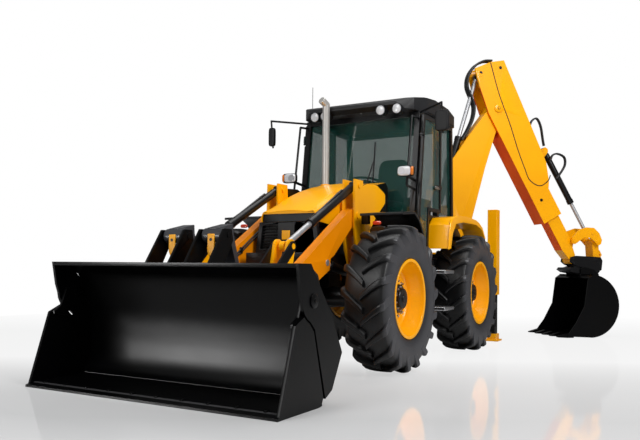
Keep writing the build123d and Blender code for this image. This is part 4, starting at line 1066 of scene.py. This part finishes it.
# ---- bonnet --------------------------------------------------------------------------------------------
@dataclass
class Bonnet:
    """Sloping engine cover with its vents, and the grille in front of it."""

    stations: tuple = (  # x, half width, crest, shoulder, lower edge
        (2.598, 0.322, 1.556, 1.530, 1.444), (2.44, 0.338, 1.632, 1.572, 1.424),
        (2.20, 0.356, 1.736, 1.650, 1.394), (1.90, 0.368, 1.838, 1.742, 1.364),
        (1.510, 0.376, 1.932, 1.845, 1.334))
    # x, half width where the vents lie
    flanks: tuple = ((1.51, 0.376), (1.9, 0.368), (2.2, 0.356), (2.44, 0.338), (2.598, 0.318))
    wall: float = 0.010

    def section(self, row: Array) -> Array:
        """Outline across the bonnet: upright sides that round over a soft shoulder into a crowned top.

        Args:
            row: a station's five numbers.

        Returns:
            Points of the outline, from the right lower edge over the top to the left one.
        """
        x, half, crest, shoulder, low = row
        knots = [(-half, low), (-half, low + 0.04), (-half + 0.004, shoulder - 0.03),
                 (-half + 0.03, shoulder + 0.015), (-half + 0.09, crest - 0.018),
                 (-half + 0.2, crest - 0.006), (0.0, crest)]
        left = smooth_line(knots, 18)
        ring = np.vstack([left, left[-2::-1] * [-1, 1]])
        return np.column_stack([np.full(len(ring), x), ring])

    def skin(self) -> Mesh:
        """Thin skin of the cover, its rows spread along a smooth line through the stations."""
        rows = smooth_line(self.stations, 26)
        outer = np.stack([self.section(row) for row in rows])
        inset = np.array([0.0, self.wall, self.wall, self.wall, 0.0])
        inner = np.stack([self.section(row - inset) for row in rows])
        return lattice(np.concatenate([outer, inner[:, ::-1]], axis=1), ring_v=True, caps=True)

    def vents(self) -> Mesh:
        """Long dark louvres on both flanks, whose blades follow the cover's side."""
        blades = []
        for k in range(5):
            x = np.linspace(1.62 + 0.02 * k, 2.30 - 0.05 * k, 12)
            z = 1.445 + 0.052 * k + 0 * x - 0.05 * (x - 1.6) * (k - 1) * 0.25
            blade = [(-0.012, 0.002), (0.012, 0.002), (0.012, -0.010), (-0.012, -0.004)]
            blades.append(carried(blade, flank(x, z, graded(x, self.flanks) + 0.0015), UP))
        return joined(blades).both()

    def mesh_behind(self) -> Mesh:
        """Upright wires of the grille's screen, behind its bars."""
        wire = box_ring(0.002, 0.002)
        return joined([carried(wire, [(2.583, y, 1.172), (2.583, y, 1.400)], FORWARD)
                       for y in np.linspace(-0.270, 0.270, 28)])

    def badge(self) -> Mesh:
        """Small blank plate on the grille's middle panel."""
        y, z = np.transpose(box_ring(0.046, 0.045))
        rings = [facing(y * s, z * s + 1.307, x) for x, s in ((2.630, 1.0), (2.638, 1.0), (2.640, 0.94))]
        return lattice(np.stack(rings), ring_v=True, caps=True)

    def closing(self) -> Mesh:
        """Dark wall that closes the cover's front above the grille, just behind its lip."""
        section = self.section(np.array(self.stations[0]) - [0.0, 0.004, 0.004, 0.004, 0.0])
        rings = [section * [0, 1, 1] + [x, 0, 0] for x in (2.566, 2.574)]
        return lattice(np.stack(rings), ring_v=True, caps=True)

    def lip(self) -> Mesh:
        """Straight lip under the cover's front edge."""
        outline = [(-0.312, 1.519), (0.312, 1.519), (0.300, 1.534), (0.200, 1.545), (0.0, 1.549),
                   (-0.200, 1.545), (-0.300, 1.534)]
        return slab(outline, 2.578, 2.597, facing)

    def build(self) -> None:
        """Cover, vents, grille and the fixed cowl behind."""
        piece("bonnet_skin", self.skin(), YELLOW, Body.BONNET, 0.004, 40, ("bonnet",))
        piece("bonnet_vents", self.vents(), PLASTIC, Body.BONNET, 0.001)
        piece("bonnet_closing_wall", self.closing(), PLASTIC, Body.BONNET)
        piece("bonnet_lip", self.lip(), YELLOW, Body.BONNET, 0.002)
        softened("grille", PLASTIC, Body.CHASSIS, 0.004)
        piece("grille_screen", self.mesh_behind(), PLASTIC, Body.CHASSIS)
        piece("grille_plate", self.badge(), YELLOW, Body.CHASSIS, 0.002)
        softened("cowl", BLACK, Body.CHASSIS, 0.010, (YELLOW, self.cowl_sides))
        softened("exhaust", STACK, Body.CHASSIS, 0.004)

    def cowl_sides(self, middles: Array) -> Array:
        """Faces of the cowl that are painted: its top and the panels beside the towers."""
        return (middles[:, 2] > 1.88) | (np.abs(middles[:, 1]) > 0.5)


# ---- fenders -------------------------------------------------------------------------------------------
@dataclass
class Fenders:
    """Mudguards: black ones in front, yellow ones with a rolled edge in one piece with the body behind."""

    roll: float = 0.011
    arch: tuple = (  # x, z of the rear guard's outer edge
        (0.752, 1.225), (0.705, 1.500), (0.600, 1.590), (0.300, 1.625), (-0.250, 1.610), (-0.520, 1.530),
        (-0.655, 1.400))

    def build(self) -> None:
        """Softened guards, a round bead along the rear ones' outer edge, and the front markers."""
        softened("front_fenders", BLACK, Body.CHASSIS, 0.010)
        softened("rear_body", YELLOW, Body.CHASSIS, 0.012, (BLACK, self.underside))
        x, z = smooth_line(self.arch, 60).T
        bead = pipe(flank(x, z - 0.010, 0.999), self.roll, 10)
        piece("rear_fender_beads", bead.both(), YELLOW, Body.CHASSIS)
        marker = pillow((2.236, 0.790, 1.432), (0.010, 0.045, 0.020), 0.6, 12)
        piece("front_markers", marker.both(), REFLECTOR, Body.CHASSIS)

    def underside(self, middles: Array) -> Array:
        """Faces below the guards and between the wheels."""
        return (np.abs(middles[:, 1]) < 0.69) & (middles[:, 2] < 1.555)


# ---- cab -----------------------------------------------------------------------------------------------
def round_lamp(centre: Array, axis: Array, radius: float, depth: float) -> tuple:
    """Housing, bright bowl and lens of a round lamp.

    Args:
        centre: middle of the lens.
        axis: the way it shines.
        radius: outer radius of the housing.
        depth: from the back of the housing to the lens.

    Returns:
        Three meshes: housing, bowl and lens.
    """
    r, d = radius, depth
    housing = ((r * 0.45, -d), (r * 0.80, -d * 0.72), (r, -d * 0.22), (r, 0.004), (r * 0.90, 0.006),
               (r * 0.88, -0.006), (r * 0.86, -d * 0.20), (r * 0.60, -d * 0.60), (r * 0.30, -d * 0.80))
    bowl = ((r * 0.86, -0.008), (r * 0.80, -d * 0.18), (r * 0.55, -d * 0.42), (r * 0.26, -d * 0.55),
            (r * 0.22, -d * 0.30), (r * 0.16, -d * 0.22), (r * 0.02, -d * 0.22))
    lens = ((r * 0.88, -0.006), (r * 0.87, 0.000), (r * 0.60, 0.007), (r * 0.30, 0.010), (r * 0.02, 0.011))
    return (turned(housing, centre, axis, 32), turned(bowl, centre, axis, 28), turned(lens, centre, axis, 28))


@dataclass
class Cab:
    """Posts, roof, panes, doors, lamps, mirrors and what is inside."""

    lamp_ys: tuple = (-0.480, -0.345, 0.370, 0.570)
    lamp_z: float = 2.7665
    headlamp_z: float = 2.0435
    mirror_heads: tuple = ((1.060, 0.078), (-1.150, 0.040))  # place across, half width
    mirror_z: float = 2.605
    wiper_arm: tuple = ((1.169, 0.02, 1.57), (1.070, 0.20, 2.24))
    wiper_blade: tuple = ((1.112, 0.205, 1.93), (1.050, 0.205, 2.45))

    def build(self) -> None:
        """All of the cab."""
        softened("cab_frame", BLACK, Body.CHASSIS, 0.006)
        softened("roof", ROOF, Body.CHASSIS, 0.022)
        dress("glazing", GLASS)
        for hand in HANDS:
            softened(f"{hand}_door", BLACK, f"{hand}_door", 0.004, (GLASS, self.pane))
        softened("cab_interior", PLASTIC, Body.CHASSIS, 0.012)
        self.lamps()
        self.mirrors()
        self.wiper()
        self.seat()
        self.trim()

    def pane(self, middles: Array) -> Array:
        """Faces of a door's pane, which lies 12 to 18 mm out from the frame's inner face."""
        depth = np.abs(middles[:, 1])
        return (depth > 0.7565) & (depth < 0.7655)

    def lamps(self) -> None:
        """Four work lamps on the roof and the two headlamps with their indicators."""
        housings, bowls, lenses = [], [], []
        for y in self.lamp_ys:
            parts = round_lamp((1.274, y, self.lamp_z), (1.0, 0.0, -0.09), 0.060, 0.085)
            for group, part in zip((housings, bowls, lenses), parts):
                group.append(part)
        z = self.headlamp_z
        shell = pillow((1.396, 0.740, z), (0.030, 0.096, 0.058), 0.45, 18)
        face = pillow((1.414, 0.726, z), (0.018, 0.076, 0.052), 0.5, 18)
        bowl = turned(((0.040, 0.0), (0.034, -0.014), (0.020, -0.024), (0.008, -0.012), (0.001, -0.010)),
                      (1.4335, 0.700, z), FORWARD, 24)
        amber = pillow((1.410, 0.815, z), (0.018, 0.018, 0.046), 0.5, 14)
        shells = joined(housings) + shell.both()
        piece("lamp_housings", shells, PLASTIC, Body.CHASSIS, replaces=("lamps_and_mirrors",))
        piece("lamp_bowls", joined(bowls) + bowl.both(), BRIGHT, Body.CHASSIS)
        piece("lamp_lenses", joined(lenses) + face.both(), LENS, Body.CHASSIS)
        piece("indicators", amber.both(), AMBER, Body.CHASSIS)

    def mirrors(self) -> None:
        """Mirror heads: soft shells with a glass sunk in their back."""
        heads, glasses = [], []
        for y, half in self.mirror_heads:
            heads.append(pillow((1.168, y, self.mirror_z), (0.030, half, 0.114), 0.35, 18))
            glass = np.array(box_ring(half - 0.012, 0.100)) + [y, self.mirror_z]
            glasses.append(slab(glass, 1.136, 1.139, facing))
        piece("mirror_heads", joined(heads), PLASTIC, Body.CHASSIS)
        piece("mirror_glasses", joined(glasses), CHROME, Body.CHASSIS)

    def wiper(self) -> None:
        """Windscreen wiper parked upright: its arm and blade."""
        tapered = np.linspace(1.3, 0.7, 12)
        arm = carried([(-0.009, -0.004), (0.009, -0.004), (0.007, 0.006), (-0.007, 0.006)],
                      np.linspace(*self.wiper_arm, 12), (0, 1, 0), scale=tapered)
        rubber = carried([(-0.004, -0.010), (0.004, -0.010), (0.006, 0.008), (-0.006, 0.008)],
                         np.linspace(*self.wiper_blade, 10), (0, 1, 0))
        piece("wiper", arm + rubber, PLASTIC, Body.CHASSIS, 0.001)

    def seat(self) -> None:
        """Cushion and back rest, blown up like cloth."""
        base = pillow((0.310, 0.0, 1.780), (0.238, 0.228, 0.048), 0.42, 18)
        back = pillow((0.0, 0.0, 0.0), (0.048, 0.215, 0.325), 0.42, 18)
        lean = math.radians(-6.0)
        c, s = math.cos(lean), math.sin(lean)
        back = back.moved([[c, 0, s], [0, 1, 0], [-s, 0, c]], (0.062, 0.0, 2.085))
        cushion = piece("seat_cushions", base + back, FABRIC, Body.CHASSIS, replaces=("seat",))
        puffed(cushion, 0.008)

    def trim(self) -> None:
        """Roof gutters, door grips and the antenna."""
        gutter = smooth_line([(-0.10, 0.757, 2.800), (0.4, 0.758, 2.800), (0.81, 0.757, 2.800)], 12)
        rail = carried(box_ring(0.006, 0.008), gutter, (0, 1, 0))
        piece("roof_gutters", rail.both(), PLASTIC, Body.CHASSIS, 0.002)
        handle = pillow((0.571, 0.790, 1.944), (0.075, 0.012, 0.017), 0.5, 12)
        piece("right_door_grip", handle.mirrored(), ROOF, "right_door")
        piece("left_door_grip", handle, BRIGHT, "left_door")
        boot = ((0.020, 0.0), (0.018, 0.020), (0.006, 0.040), (0.004, 0.046))
        foot = turned(boot, (0.95, -0.70, 2.870), UP, 20)
        mast = pipe([(0.95, -0.70, 2.890), (0.95, -0.70, 3.060), (0.95, -0.70, 3.220)], 0.0035, 8)
        piece("antenna", foot + mast, PLASTIC, Body.CHASSIS)


def puffed(obj: bpy.types.Object, cap: float) -> None:
    """Blows a closed piece up like a cushion.

    The piece is remeshed evenly, swells as Cloth under pressure for twenty frames, and no point ends farther
    than the cap from where it began.

    Args:
        obj: the piece, whose mesh is swapped for the swollen one.
        cap: how far a point may move.
    """
    remesh = obj.modifiers.new("even", "REMESH")
    remesh.mode, remesh.voxel_size, remesh.use_smooth_shade = "VOXEL", 0.010, True   # a centimetre
    baked(obj)
    start = corners(obj.data)
    cloth = obj.modifiers.new("cloth", "CLOTH")
    cloth.settings.use_pressure = True
    cloth.settings.uniform_pressure_force = 4.0
    cloth.settings.effector_weights.gravity = 0.0
    scene = bpy.context.scene
    for step in range(1, 21):
        scene.frame_set(step)
    swollen = obj.evaluated_get(bpy.context.evaluated_depsgraph_get()).to_mesh()
    moved = corners(swollen) - start
    length = np.linalg.norm(moved, axis=1)[:, None]
    end = start + moved * np.minimum(1.0, cap / np.maximum(length, 1e-9))
    obj.modifiers.remove(cloth)
    obj.data.vertices.foreach_set("co", end.astype(np.float32).ravel())
    obj.data.update()
    scene.frame_set(1)
    finer = obj.modifiers.new("finer", "SUBSURF")
    finer.levels = finer.render_levels = 1
    obj.data.shade_smooth()


def corners(data: bpy.types.Mesh) -> Array:
    """Vertices of a mesh as an array."""
    flat = np.zeros(len(data.vertices) * 3, dtype=np.float32)
    data.vertices.foreach_get("co", flat)
    return flat.reshape(-1, 3).astype(float)


def baked(obj: bpy.types.Object) -> None:
    """Applies all modifiers of a piece."""
    graph = bpy.context.evaluated_depsgraph_get()
    data = bpy.data.meshes.new_from_object(obj.evaluated_get(graph))
    obj.modifiers.clear()
    obj.data = data


# ---- loader --------------------------------------------------------------------------------------------
@dataclass
class Loader:
    """Arms, levers, links and the rams that lift and tilt the shovel."""

    rams: tuple = (("lift_ram", (2.695, 0.455, 1.038), BLACK), ("tilt_ram", (3.380, 0.455, 1.170), YELLOW))
    lift_pin: tuple = (2.695, 0.5, 1.038)

    def build(self) -> None:
        """Softened nodes, and the pipes along arms and tubes."""
        softened("loader_arms", ORANGE, Body.ARMS, 0.008, (CHROME, near_both(self.lift_pin, 0.032)))
        softened("tilt_levers", YELLOW, "tilt_levers", 0.004)
        softened("tilt_links", BLACK, "tilt_links", 0.004)
        for name, eye, finish in self.rams:
            softened(f"{name}_tubes", BLACK, f"{name}_tubes", 0.004)
            softened(f"{name}_rods", CHROME, f"{name}_rods", 0.003, (finish, near_both(eye, 0.075)))
        self.hoses()

    def hoses(self) -> None:
        """Two steel pipes clipped along the inner side of each arm, and one along each tilt tube."""
        knots = np.array([(2.16, 0.398, 1.530), (2.40, 0.398, 1.430), (2.80, 0.398, 1.180),
                          (2.95, 0.398, 1.076)])
        pipes = joined([pipe(smooth_line(knots + [0.0, 0.0, -0.03 * k], 30), 0.009, 10) for k in range(2)])
        spots = ((2.42, 0.400, 1.404), (2.82, 0.400, 1.152))
        clips = joined([pillow(spot, (0.016, 0.012, 0.034), 0.4, 8) for spot in spots])
        piece("arm_pipes", pipes.both() + clips.both(), BLACK, Body.ARMS)
        line = smooth_line([(2.340, 0.455, 1.752), (2.600, 0.455, 1.6095), (2.940, 0.455, 1.423)], 24)
        bands = [pillow(line[k] - [0.012, 0.0, 0.022], (0.016, 0.020, 0.040), 0.5, 10) for k in (3, 20)]
        piece("tilt_pipes", pipe(line, 0.013, 12).both() + joined(bands).both(), BLACK, "tilt_ram_tubes")


@dataclass
class Shovel:
    """Four-in-one shovel: back blade, clam with its cutting edge, and what is bolted to them."""

    half: float = 1.220
    lining: tuple = (  # x, z of the smooth inner face of the back blade, from the top down to the floor
        (4.385, 0.986), (4.240, 0.981), (4.120, 0.900), (4.003, 0.628), (3.968, 0.420), (3.974, 0.260),
        (3.996, 0.150), (4.032, 0.088), (4.078, 0.0605))

    strip: tuple = ((3.990, 0.072), (4.075, 0.072), (4.215, 0.545), (4.150, 0.590), (4.110, 0.540))  # x, z
    hanger: tuple = (  # distance from the fork's middle, height
        (-0.034, 1.250), (-0.034, 1.110), (-0.018, 1.078), (0.018, 1.078), (0.034, 1.110), (0.034, 1.250))
    fork_y: float = 0.200
    jaw_pin: tuple = (4.180, 0.760)

    def build(self) -> None:
        """Softened nodes, and what is fixed to the blade, the forks and the jaw."""
        softened("shovel", SHOVEL_BLACK, Body.SHOVEL, 0.005)
        softened("clam_jaw", SHOVEL_BLACK, Body.JAW, 0.003)
        softened("forks", FORK_GREY, Body.FORKS, 0.006)
        self.blade()
        self.fork_plates()
        self.edge()
        self.jaw_pins()

    def blade(self) -> None:
        """Smooth inner face of the back blade, and the strip along each of its ends."""
        inner = smooth_line(self.lining, 70)
        outer = smooth_line(np.array(self.lining) - [0.004, 0.0], 70)
        lining = slab(np.vstack([inner, outer[::-1]]), -1.196, 1.196, flank)
        piece("shovel_lining", lining, SHOVEL_BLACK, Body.SHOVEL)
        seam = slab(self.strip, 1.1925, 1.1965, flank)
        piece("shovel_seam_strips", seam.both(), SHOVEL_BLACK, Body.SHOVEL)

    def fork_plates(self) -> None:
        """Hangers of the flip-over forks, each with its hole."""
        hangers = [slab(np.array(self.hanger) + [s * self.fork_y, 0.0], 4.038, 4.050, facing) for s in SIDES]
        disc = ((0.013, 0.0), (0.013, 0.002), (0.001, 0.002))
        holes = [turned(disc, (4.0495, s * self.fork_y, 1.205), FORWARD, 20) for s in SIDES]
        piece("fork_plates", joined(hangers), YELLOW, Body.FORKS, 0.004)
        piece("fork_plate_holes", joined(holes), SHOVEL_BLACK, Body.FORKS)

    def edge(self) -> None:
        """Bolts of the cutting edge, and its bare worn front."""
        floor = facing(np.linspace(-1.08, 1.08, 10), 0.0405, 4.545)
        piece("edge_bolts", hex_heads(floor, (0.27, 0, 0.96), 0.016, 0.010), SHOVEL_BLACK, Body.JAW)
        middle = facing(np.array([-1.2195, 0.0, 1.2195]), 0.0375, 4.556)
        lip = [(0.0, -0.001), (0.072, -0.001), (0.072, 0.003), (0.0, 0.004)]
        piece("worn_edge", carried(lip, middle, (0.95, 0, -0.29)), WORN, Body.JAW)

    def jaw_pins(self) -> None:
        """Bolted caps on the pins that the jaw swings on."""
        x, z = self.jaw_pin
        cap = ((0.052, 0.0), (0.052, 0.010), (0.044, 0.014), (0.004, 0.014))
        bosses = [turned(cap, (x, s * (self.half - 0.001), z), (0, s, 0), 28) for s in SIDES]
        heads = [hex_heads([(x, s * (self.half + 0.012), z)], (0, s, 0), 0.016, 0.006) for s in SIDES]
        piece("jaw_pin_caps", joined(bosses + heads), SHOVEL_BLACK, Body.SHOVEL, 0.001)


# ---- backhoe -------------------------------------------------------------------------------------------
@dataclass
class Backhoe:
    """Carriage, kingpost, boom, sliding dipper, linkage, bucket and rams."""

    dipper_pin: tuple = (0.985, 3.380)
    bucket_pin: tuple = (2.265, 1.145)
    underside: float = 0.090   # how far below the line between its pins the dipper's shaded faces begin
    cheek: float = 0.150       # distance of its side faces from the boom's plane
    rams: tuple = (("boom_ram", (0.400, 1.700)), ("dipper_ram", (0.700, 3.860)),
                   ("bucket_ram", (2.545, 1.560)))
    # distance outward and height along the boom's pipes
    boom_line: tuple = ((0.293, 1.95), (0.256, 2.20), (0.238, 2.45), (0.278, 2.64), (0.388, 2.780))
    tail_hose: float = 0.0165
    tail: tuple = (  # distance outward and height along the bundle that loops round the dipper's tail
        (0.930, 4.115), (0.800, 4.100), (0.660, 4.015), (0.560, 3.860), (0.545, 3.700), (0.600, 3.560),
        (0.655, 3.420), (0.640, 3.250), (0.560, 3.060), (0.460, 2.900))
    loops: tuple = (
        ((1.500, 3.130), (1.545, 3.230), (1.625, 3.265), (1.690, 3.150), (1.725, 2.960), (1.745, 2.860)),
        ((1.850, 2.640), (1.890, 2.725), (1.975, 2.750), (2.085, 2.700), (2.095, 2.580), (2.010, 2.440),
         (1.960, 2.380)))
    seam: tuple = (
        (0.854, 4.050), (0.992, 3.600), (1.169, 3.164), (1.306, 2.772), (1.417, 2.504), (1.500, 2.332),
        (1.664, 2.251), (1.800, 2.330), (1.840, 2.420))
    bolts: tuple = ((0.704, 3.889), (1.015, 3.985), (1.694, 2.039))

    def build(self) -> None:
        """Softened nodes, hoses, and the trim of the dipper's cheeks and pin."""
        softened("sideshift_carriage", YELLOW, Body.CARRIAGE, 0.006)
        softened("kingpost", YELLOW, Body.KINGPOST, 0.006)
        softened("boom", YELLOW, Body.BOOM, 0.009)
        # the dipper's underside faces take the orange of painted shade
        softened("outer_dipper", YELLOW, Body.OUTER, 0.009, (PAINTED_SHADE_ORANGE, self.below))
        softened("inner_dipper", YELLOW, Body.INNER, 0.006, (PAINTED_SHADE_ORANGE, self.below))
        softened("tipping_lever", YELLOW, Body.LEVER, 0.004)
        softened("tipping_link", YELLOW, Body.LINK, 0.004)
        softened("hitch", BLACK, Body.BUCKET, 0.004)
        softened("bucket", SHOVEL_BLACK, Body.BUCKET, 0.005)
        for name, eye in self.rams:
            softened(f"{name}_tube", BLACK, f"{name}_tube", 0.004)
            softened(f"{name}_rod", CHROME, f"{name}_rod", 0.003, (BLACK, near(hoe(*eye), 0.085)))
        self.hoses()
        self.cover()
        self.pins()

    def hoses(self) -> None:
        """Pipes on the boom's back, the bundle round the dipper's tail, and the dipper's short hoses."""
        lines = [pipe(smooth_line([hoe(r, z, across) for r, z in self.boom_line], 30), 0.010, 10)
                 for across in (0.073, 0.085, 0.097)]
        piece("boom_pipes", joined(lines), BLACK, Body.BOOM)
        bundle = [pipe(smooth_line([hoe(r, z, across) for r, z in self.tail], 60), self.tail_hose, 12)
                  for across in (-0.045, -0.015, 0.015, 0.045)]
        obj = piece("tail_hoses", joined(bundle), HOSE, None)
        at(hoe(*self.tail[-2], 0.0))
        at(hoe(*self.tail[3], 0.0))
        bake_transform(obj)
        loops = [pipe(smooth_line([hoe(r, z, across) for r, z in loop], 40), 0.013, 12)
                 for loop in self.loops for across in (-0.134, -0.108)]
        piece("dipper_hoses", joined(loops), HOSE, Body.OUTER)

    def below(self, middles: Array) -> Array:
        """Painted-shade underside of the dipper: faces well below the line from its pin to the bucket's."""
        pin, end = np.array(self.dipper_pin), np.array(self.bucket_pin)
        run = (end - pin) / np.linalg.norm(end - pin)
        out = (middles - KINGPOST) @ OUTWARD - pin[0]
        return out * run[1] - (middles[:, 2] - pin[1]) * run[0] > self.underside

    def cover(self) -> None:
        """Dark seam and bolts of the cover plate on each cheek of the dipper."""
        seam = smooth_line(self.seam, 60)
        strips, bolts = [], []
        for side in SIDES:
            path = hoe(seam[:, 0], seam[:, 1], side * (self.cheek + 0.0005))
            strips.append(carried(box_ring(0.007, 0.0015), path, np.cross(path[-1] - path[0], ACROSS)))
            spots = [hoe(r, z, side * self.cheek) for r, z in self.bolts]
            bolts.append(hex_heads(spots, side * ACROSS, 0.016, 0.010))
        piece("dipper_seams", joined(strips), PLASTIC, Body.OUTER)
        piece("dipper_bolts", joined(bolts), BLACK, Body.OUTER)

    def pins(self) -> None:
        """Round caps with a bolt on the ends of the pin between boom and dipper."""
        rim = ((0.062, -0.004), (0.062, 0.006), (0.055, 0.009), (0.004, 0.009))
        dot = ((0.020, -0.004), (0.020, 0.004), (0.001, 0.004))
        caps, dots = [], []
        for side in SIDES:
            out = side * ACROSS
            spot = hoe(*self.dipper_pin, side * (self.cheek + 0.0085))
            caps.append(turned(rim, spot, out, 28))
            caps.append(hex_heads([spot + out * 0.008], out, 0.018, 0.012))
            dots.append(turned(dot, hoe(*self.dipper_pin, side * (self.cheek + 0.0235)), out, 20))
        piece("dipper_pin_caps", joined(caps), YELLOW, Body.OUTER, 0.001)
        piece("dipper_pin_bolts", joined(dots), BLACK, Body.OUTER)


# ---- stage ---------------------------------------------------------------------------------------------
class Backdrop(Enum):
    """Display colours of what stands round the machine."""

    FLOOR = srgb(214, 214, 214)
    PATCHES = srgb(206, 206, 206)
    SKY = (1.0, 1.0, 1.0, 1.0)
    LIGHT = (0.95, 0.97, 1.0, 1.0)


@dataclass(frozen=True)
class Lamp:
    """Soft area light that looks at a point: a square, or a strip that only mirroring surfaces show."""

    name: str
    place: tuple
    target: tuple
    power: float
    width: float
    strip: float | None = None   # the strip's height

    def build(self) -> None:
        """Adds the light."""
        data = bpy.data.lights.new(self.name, "AREA")
        data.size, data.energy = self.width, self.power
        obj = bpy.data.objects.new(self.name, data)
        aim = (Vector(self.target) - Vector(self.place)).to_track_quat("-Z", "Y")
        obj.matrix_world = Matrix.Translation(self.place) @ aim.to_matrix().to_4x4()
        if self.strip:
            data.shape, data.size_y = "RECTANGLE", self.strip
            obj.visible_diffuse = False
            obj.visible_camera = False
        bpy.context.scene.collection.objects.link(obj)


@dataclass
class Stage:
    """Camera, lights, pale floor and white background."""

    eye: tuple = (7.8776, 3.0983, 0.9946)
    heading: float = 209.64
    pitch: float = 0.92
    roll: float = 0.0105
    lens: float = 39.47
    shift_y: float = 0.0564
    sky: float = 0.38
    mirrored_sky: float = 0.22
    pale: float = 0.84
    paling: tuple = (4.6, 7.6)   # distances ahead of the eye between which the floor pales by that share
    fade: tuple = (10.5, 15.0)   # and between which it turns white
    rim: tuple = (4.8, 9.0)      # distances from the machine between which the floor turns white
    half_floor: float = 60.0
    lamps: tuple = (
        Lamp("key", (4.0, 7.5, 7.0), (0.0, 0.0, 1.0), 700.0, 4.0),
        Lamp("front", (10.0, -2.0, 6.0), (1.5, 0.0, 1.2), 320.0, 3.5),
        Lamp("top", (0.0, 0.0, 9.0), (0.0, 0.0, 0.0), 330.0, 6.0),
        Lamp("gleam", (8.11, -4.05, 0.62), (3.43, -0.38, 0.26), 150.0, 2.2, 0.5))   # across the shovel's foot

    def camera(self) -> None:
        """Camera whose view direction is the heading in plan, raised by the pitch and turned by the roll."""
        data = bpy.data.cameras.new("camera")
        data.lens, data.sensor_width, data.shift_y, data.clip_end = self.lens, 36.0, self.shift_y, 200.0
        obj = bpy.data.objects.new("camera", data)
        h, p = math.radians(self.heading), math.radians(self.pitch)
        view = Vector((math.cos(h) * math.cos(p), math.sin(h) * math.cos(p), math.sin(p)))
        turn = view.to_track_quat("-Z", "Y").to_matrix().to_4x4()
        obj.matrix_world = Matrix.Translation(self.eye) @ turn @ Matrix.Rotation(self.roll, 4, "Z")
        bpy.context.scene.collection.objects.link(obj)
        bpy.context.scene.camera = obj

    def floor(self) -> None:
        """Wide floor that mirrors the machine faintly near the eye, and turns to plain white farther on."""
        n = self.half_floor
        mesh = lattice(np.array([[(-n, -n, 0.0), (-n, n, 0.0)], [(n, -n, 0.0), (n, n, 0.0)]]))
        obj = bpy.data.objects.new("floor", mesh.data("floor"))
        bpy.context.scene.collection.objects.link(obj)
        g = Graph("floor")
        patches = g.noise(0.6)
        glossy = g.surface(Base_Color=g.mix(patches, Backdrop.FLOOR.value, Backdrop.PATCHES.value),
                           Roughness=patches * 0.02 + 0.05, Specular_IOR_Level=0.5)
        heading = math.radians(self.heading)
        x, y = g.along(0), g.along(1)
        ahead = (x - self.eye[0]) * math.cos(heading) + (y - self.eye[1]) * math.sin(heading)
        white = g.node("ShaderNodeEmission", inputs={"Color": Backdrop.SKY.value, "Strength": 1.0})
        seen = g.node("ShaderNodeLightPath", output="Is Camera Ray")
        away = (x * x + y * y) ** 0.5
        share = g.ramp(ahead, *self.paling) * self.pale + g.ramp(ahead, *self.fade) * (1.0 - self.pale)
        share = share.most(g.ramp(away, *self.rim))
        faded = g.node("ShaderNodeMixShader", inputs={0: share * seen, 1: glossy, 2: white})
        obj.data.materials.append(g.closed(faded))

    def world(self) -> None:
        """White where the camera or a mirror sees past the machine, and a softer light for the surfaces."""
        world = bpy.data.worlds.new("sky")
        world.use_nodes = True
        world.node_tree.nodes.clear()
        g = Tree(world.node_tree)
        camera, through, mirrored = (g.node("ShaderNodeLightPath", output=f"Is {kind} Ray")
                                     for kind in ("Camera", "Transmission", "Glossy"))
        plain = g.node("ShaderNodeBackground", inputs={0: Backdrop.SKY.value, 1: 1.0})
        light = g.node("ShaderNodeBackground", inputs={0: Backdrop.LIGHT.value, 1: self.sky})
        dim = g.node("ShaderNodeBackground", inputs={0: Backdrop.SKY.value, 1: self.mirrored_sky})
        inner = g.node("ShaderNodeMixShader", inputs={0: mirrored, 1: light, 2: dim})
        both = g.node("ShaderNodeMixShader", inputs={0: camera.most(through), 1: inner, 2: plain})
        g.node("ShaderNodeOutputWorld", inputs={0: both}, output=None)
        bpy.context.scene.world = world

    def build(self) -> None:
        """Sets everything up."""
        bpy.context.scene.view_settings.view_transform = "Standard"
        self.camera()
        for lamp in self.lamps:
            lamp.build()
        self.floor()
        self.world()


def main() -> None:
    """Builds the stage and every sub-assembly in order."""
    logging.basicConfig(level=logging.INFO, format="%(name)s: %(message)s")
    Stage().build()
    for part in (Chassis(), Tyre(), Wheel(), Bonnet(), Fenders(), Cab(), Loader(), Shovel(), Backhoe()):
        part.build()
        LOG.info("built %s", type(part).__name__)


if __name__ == "__main__":
    main()
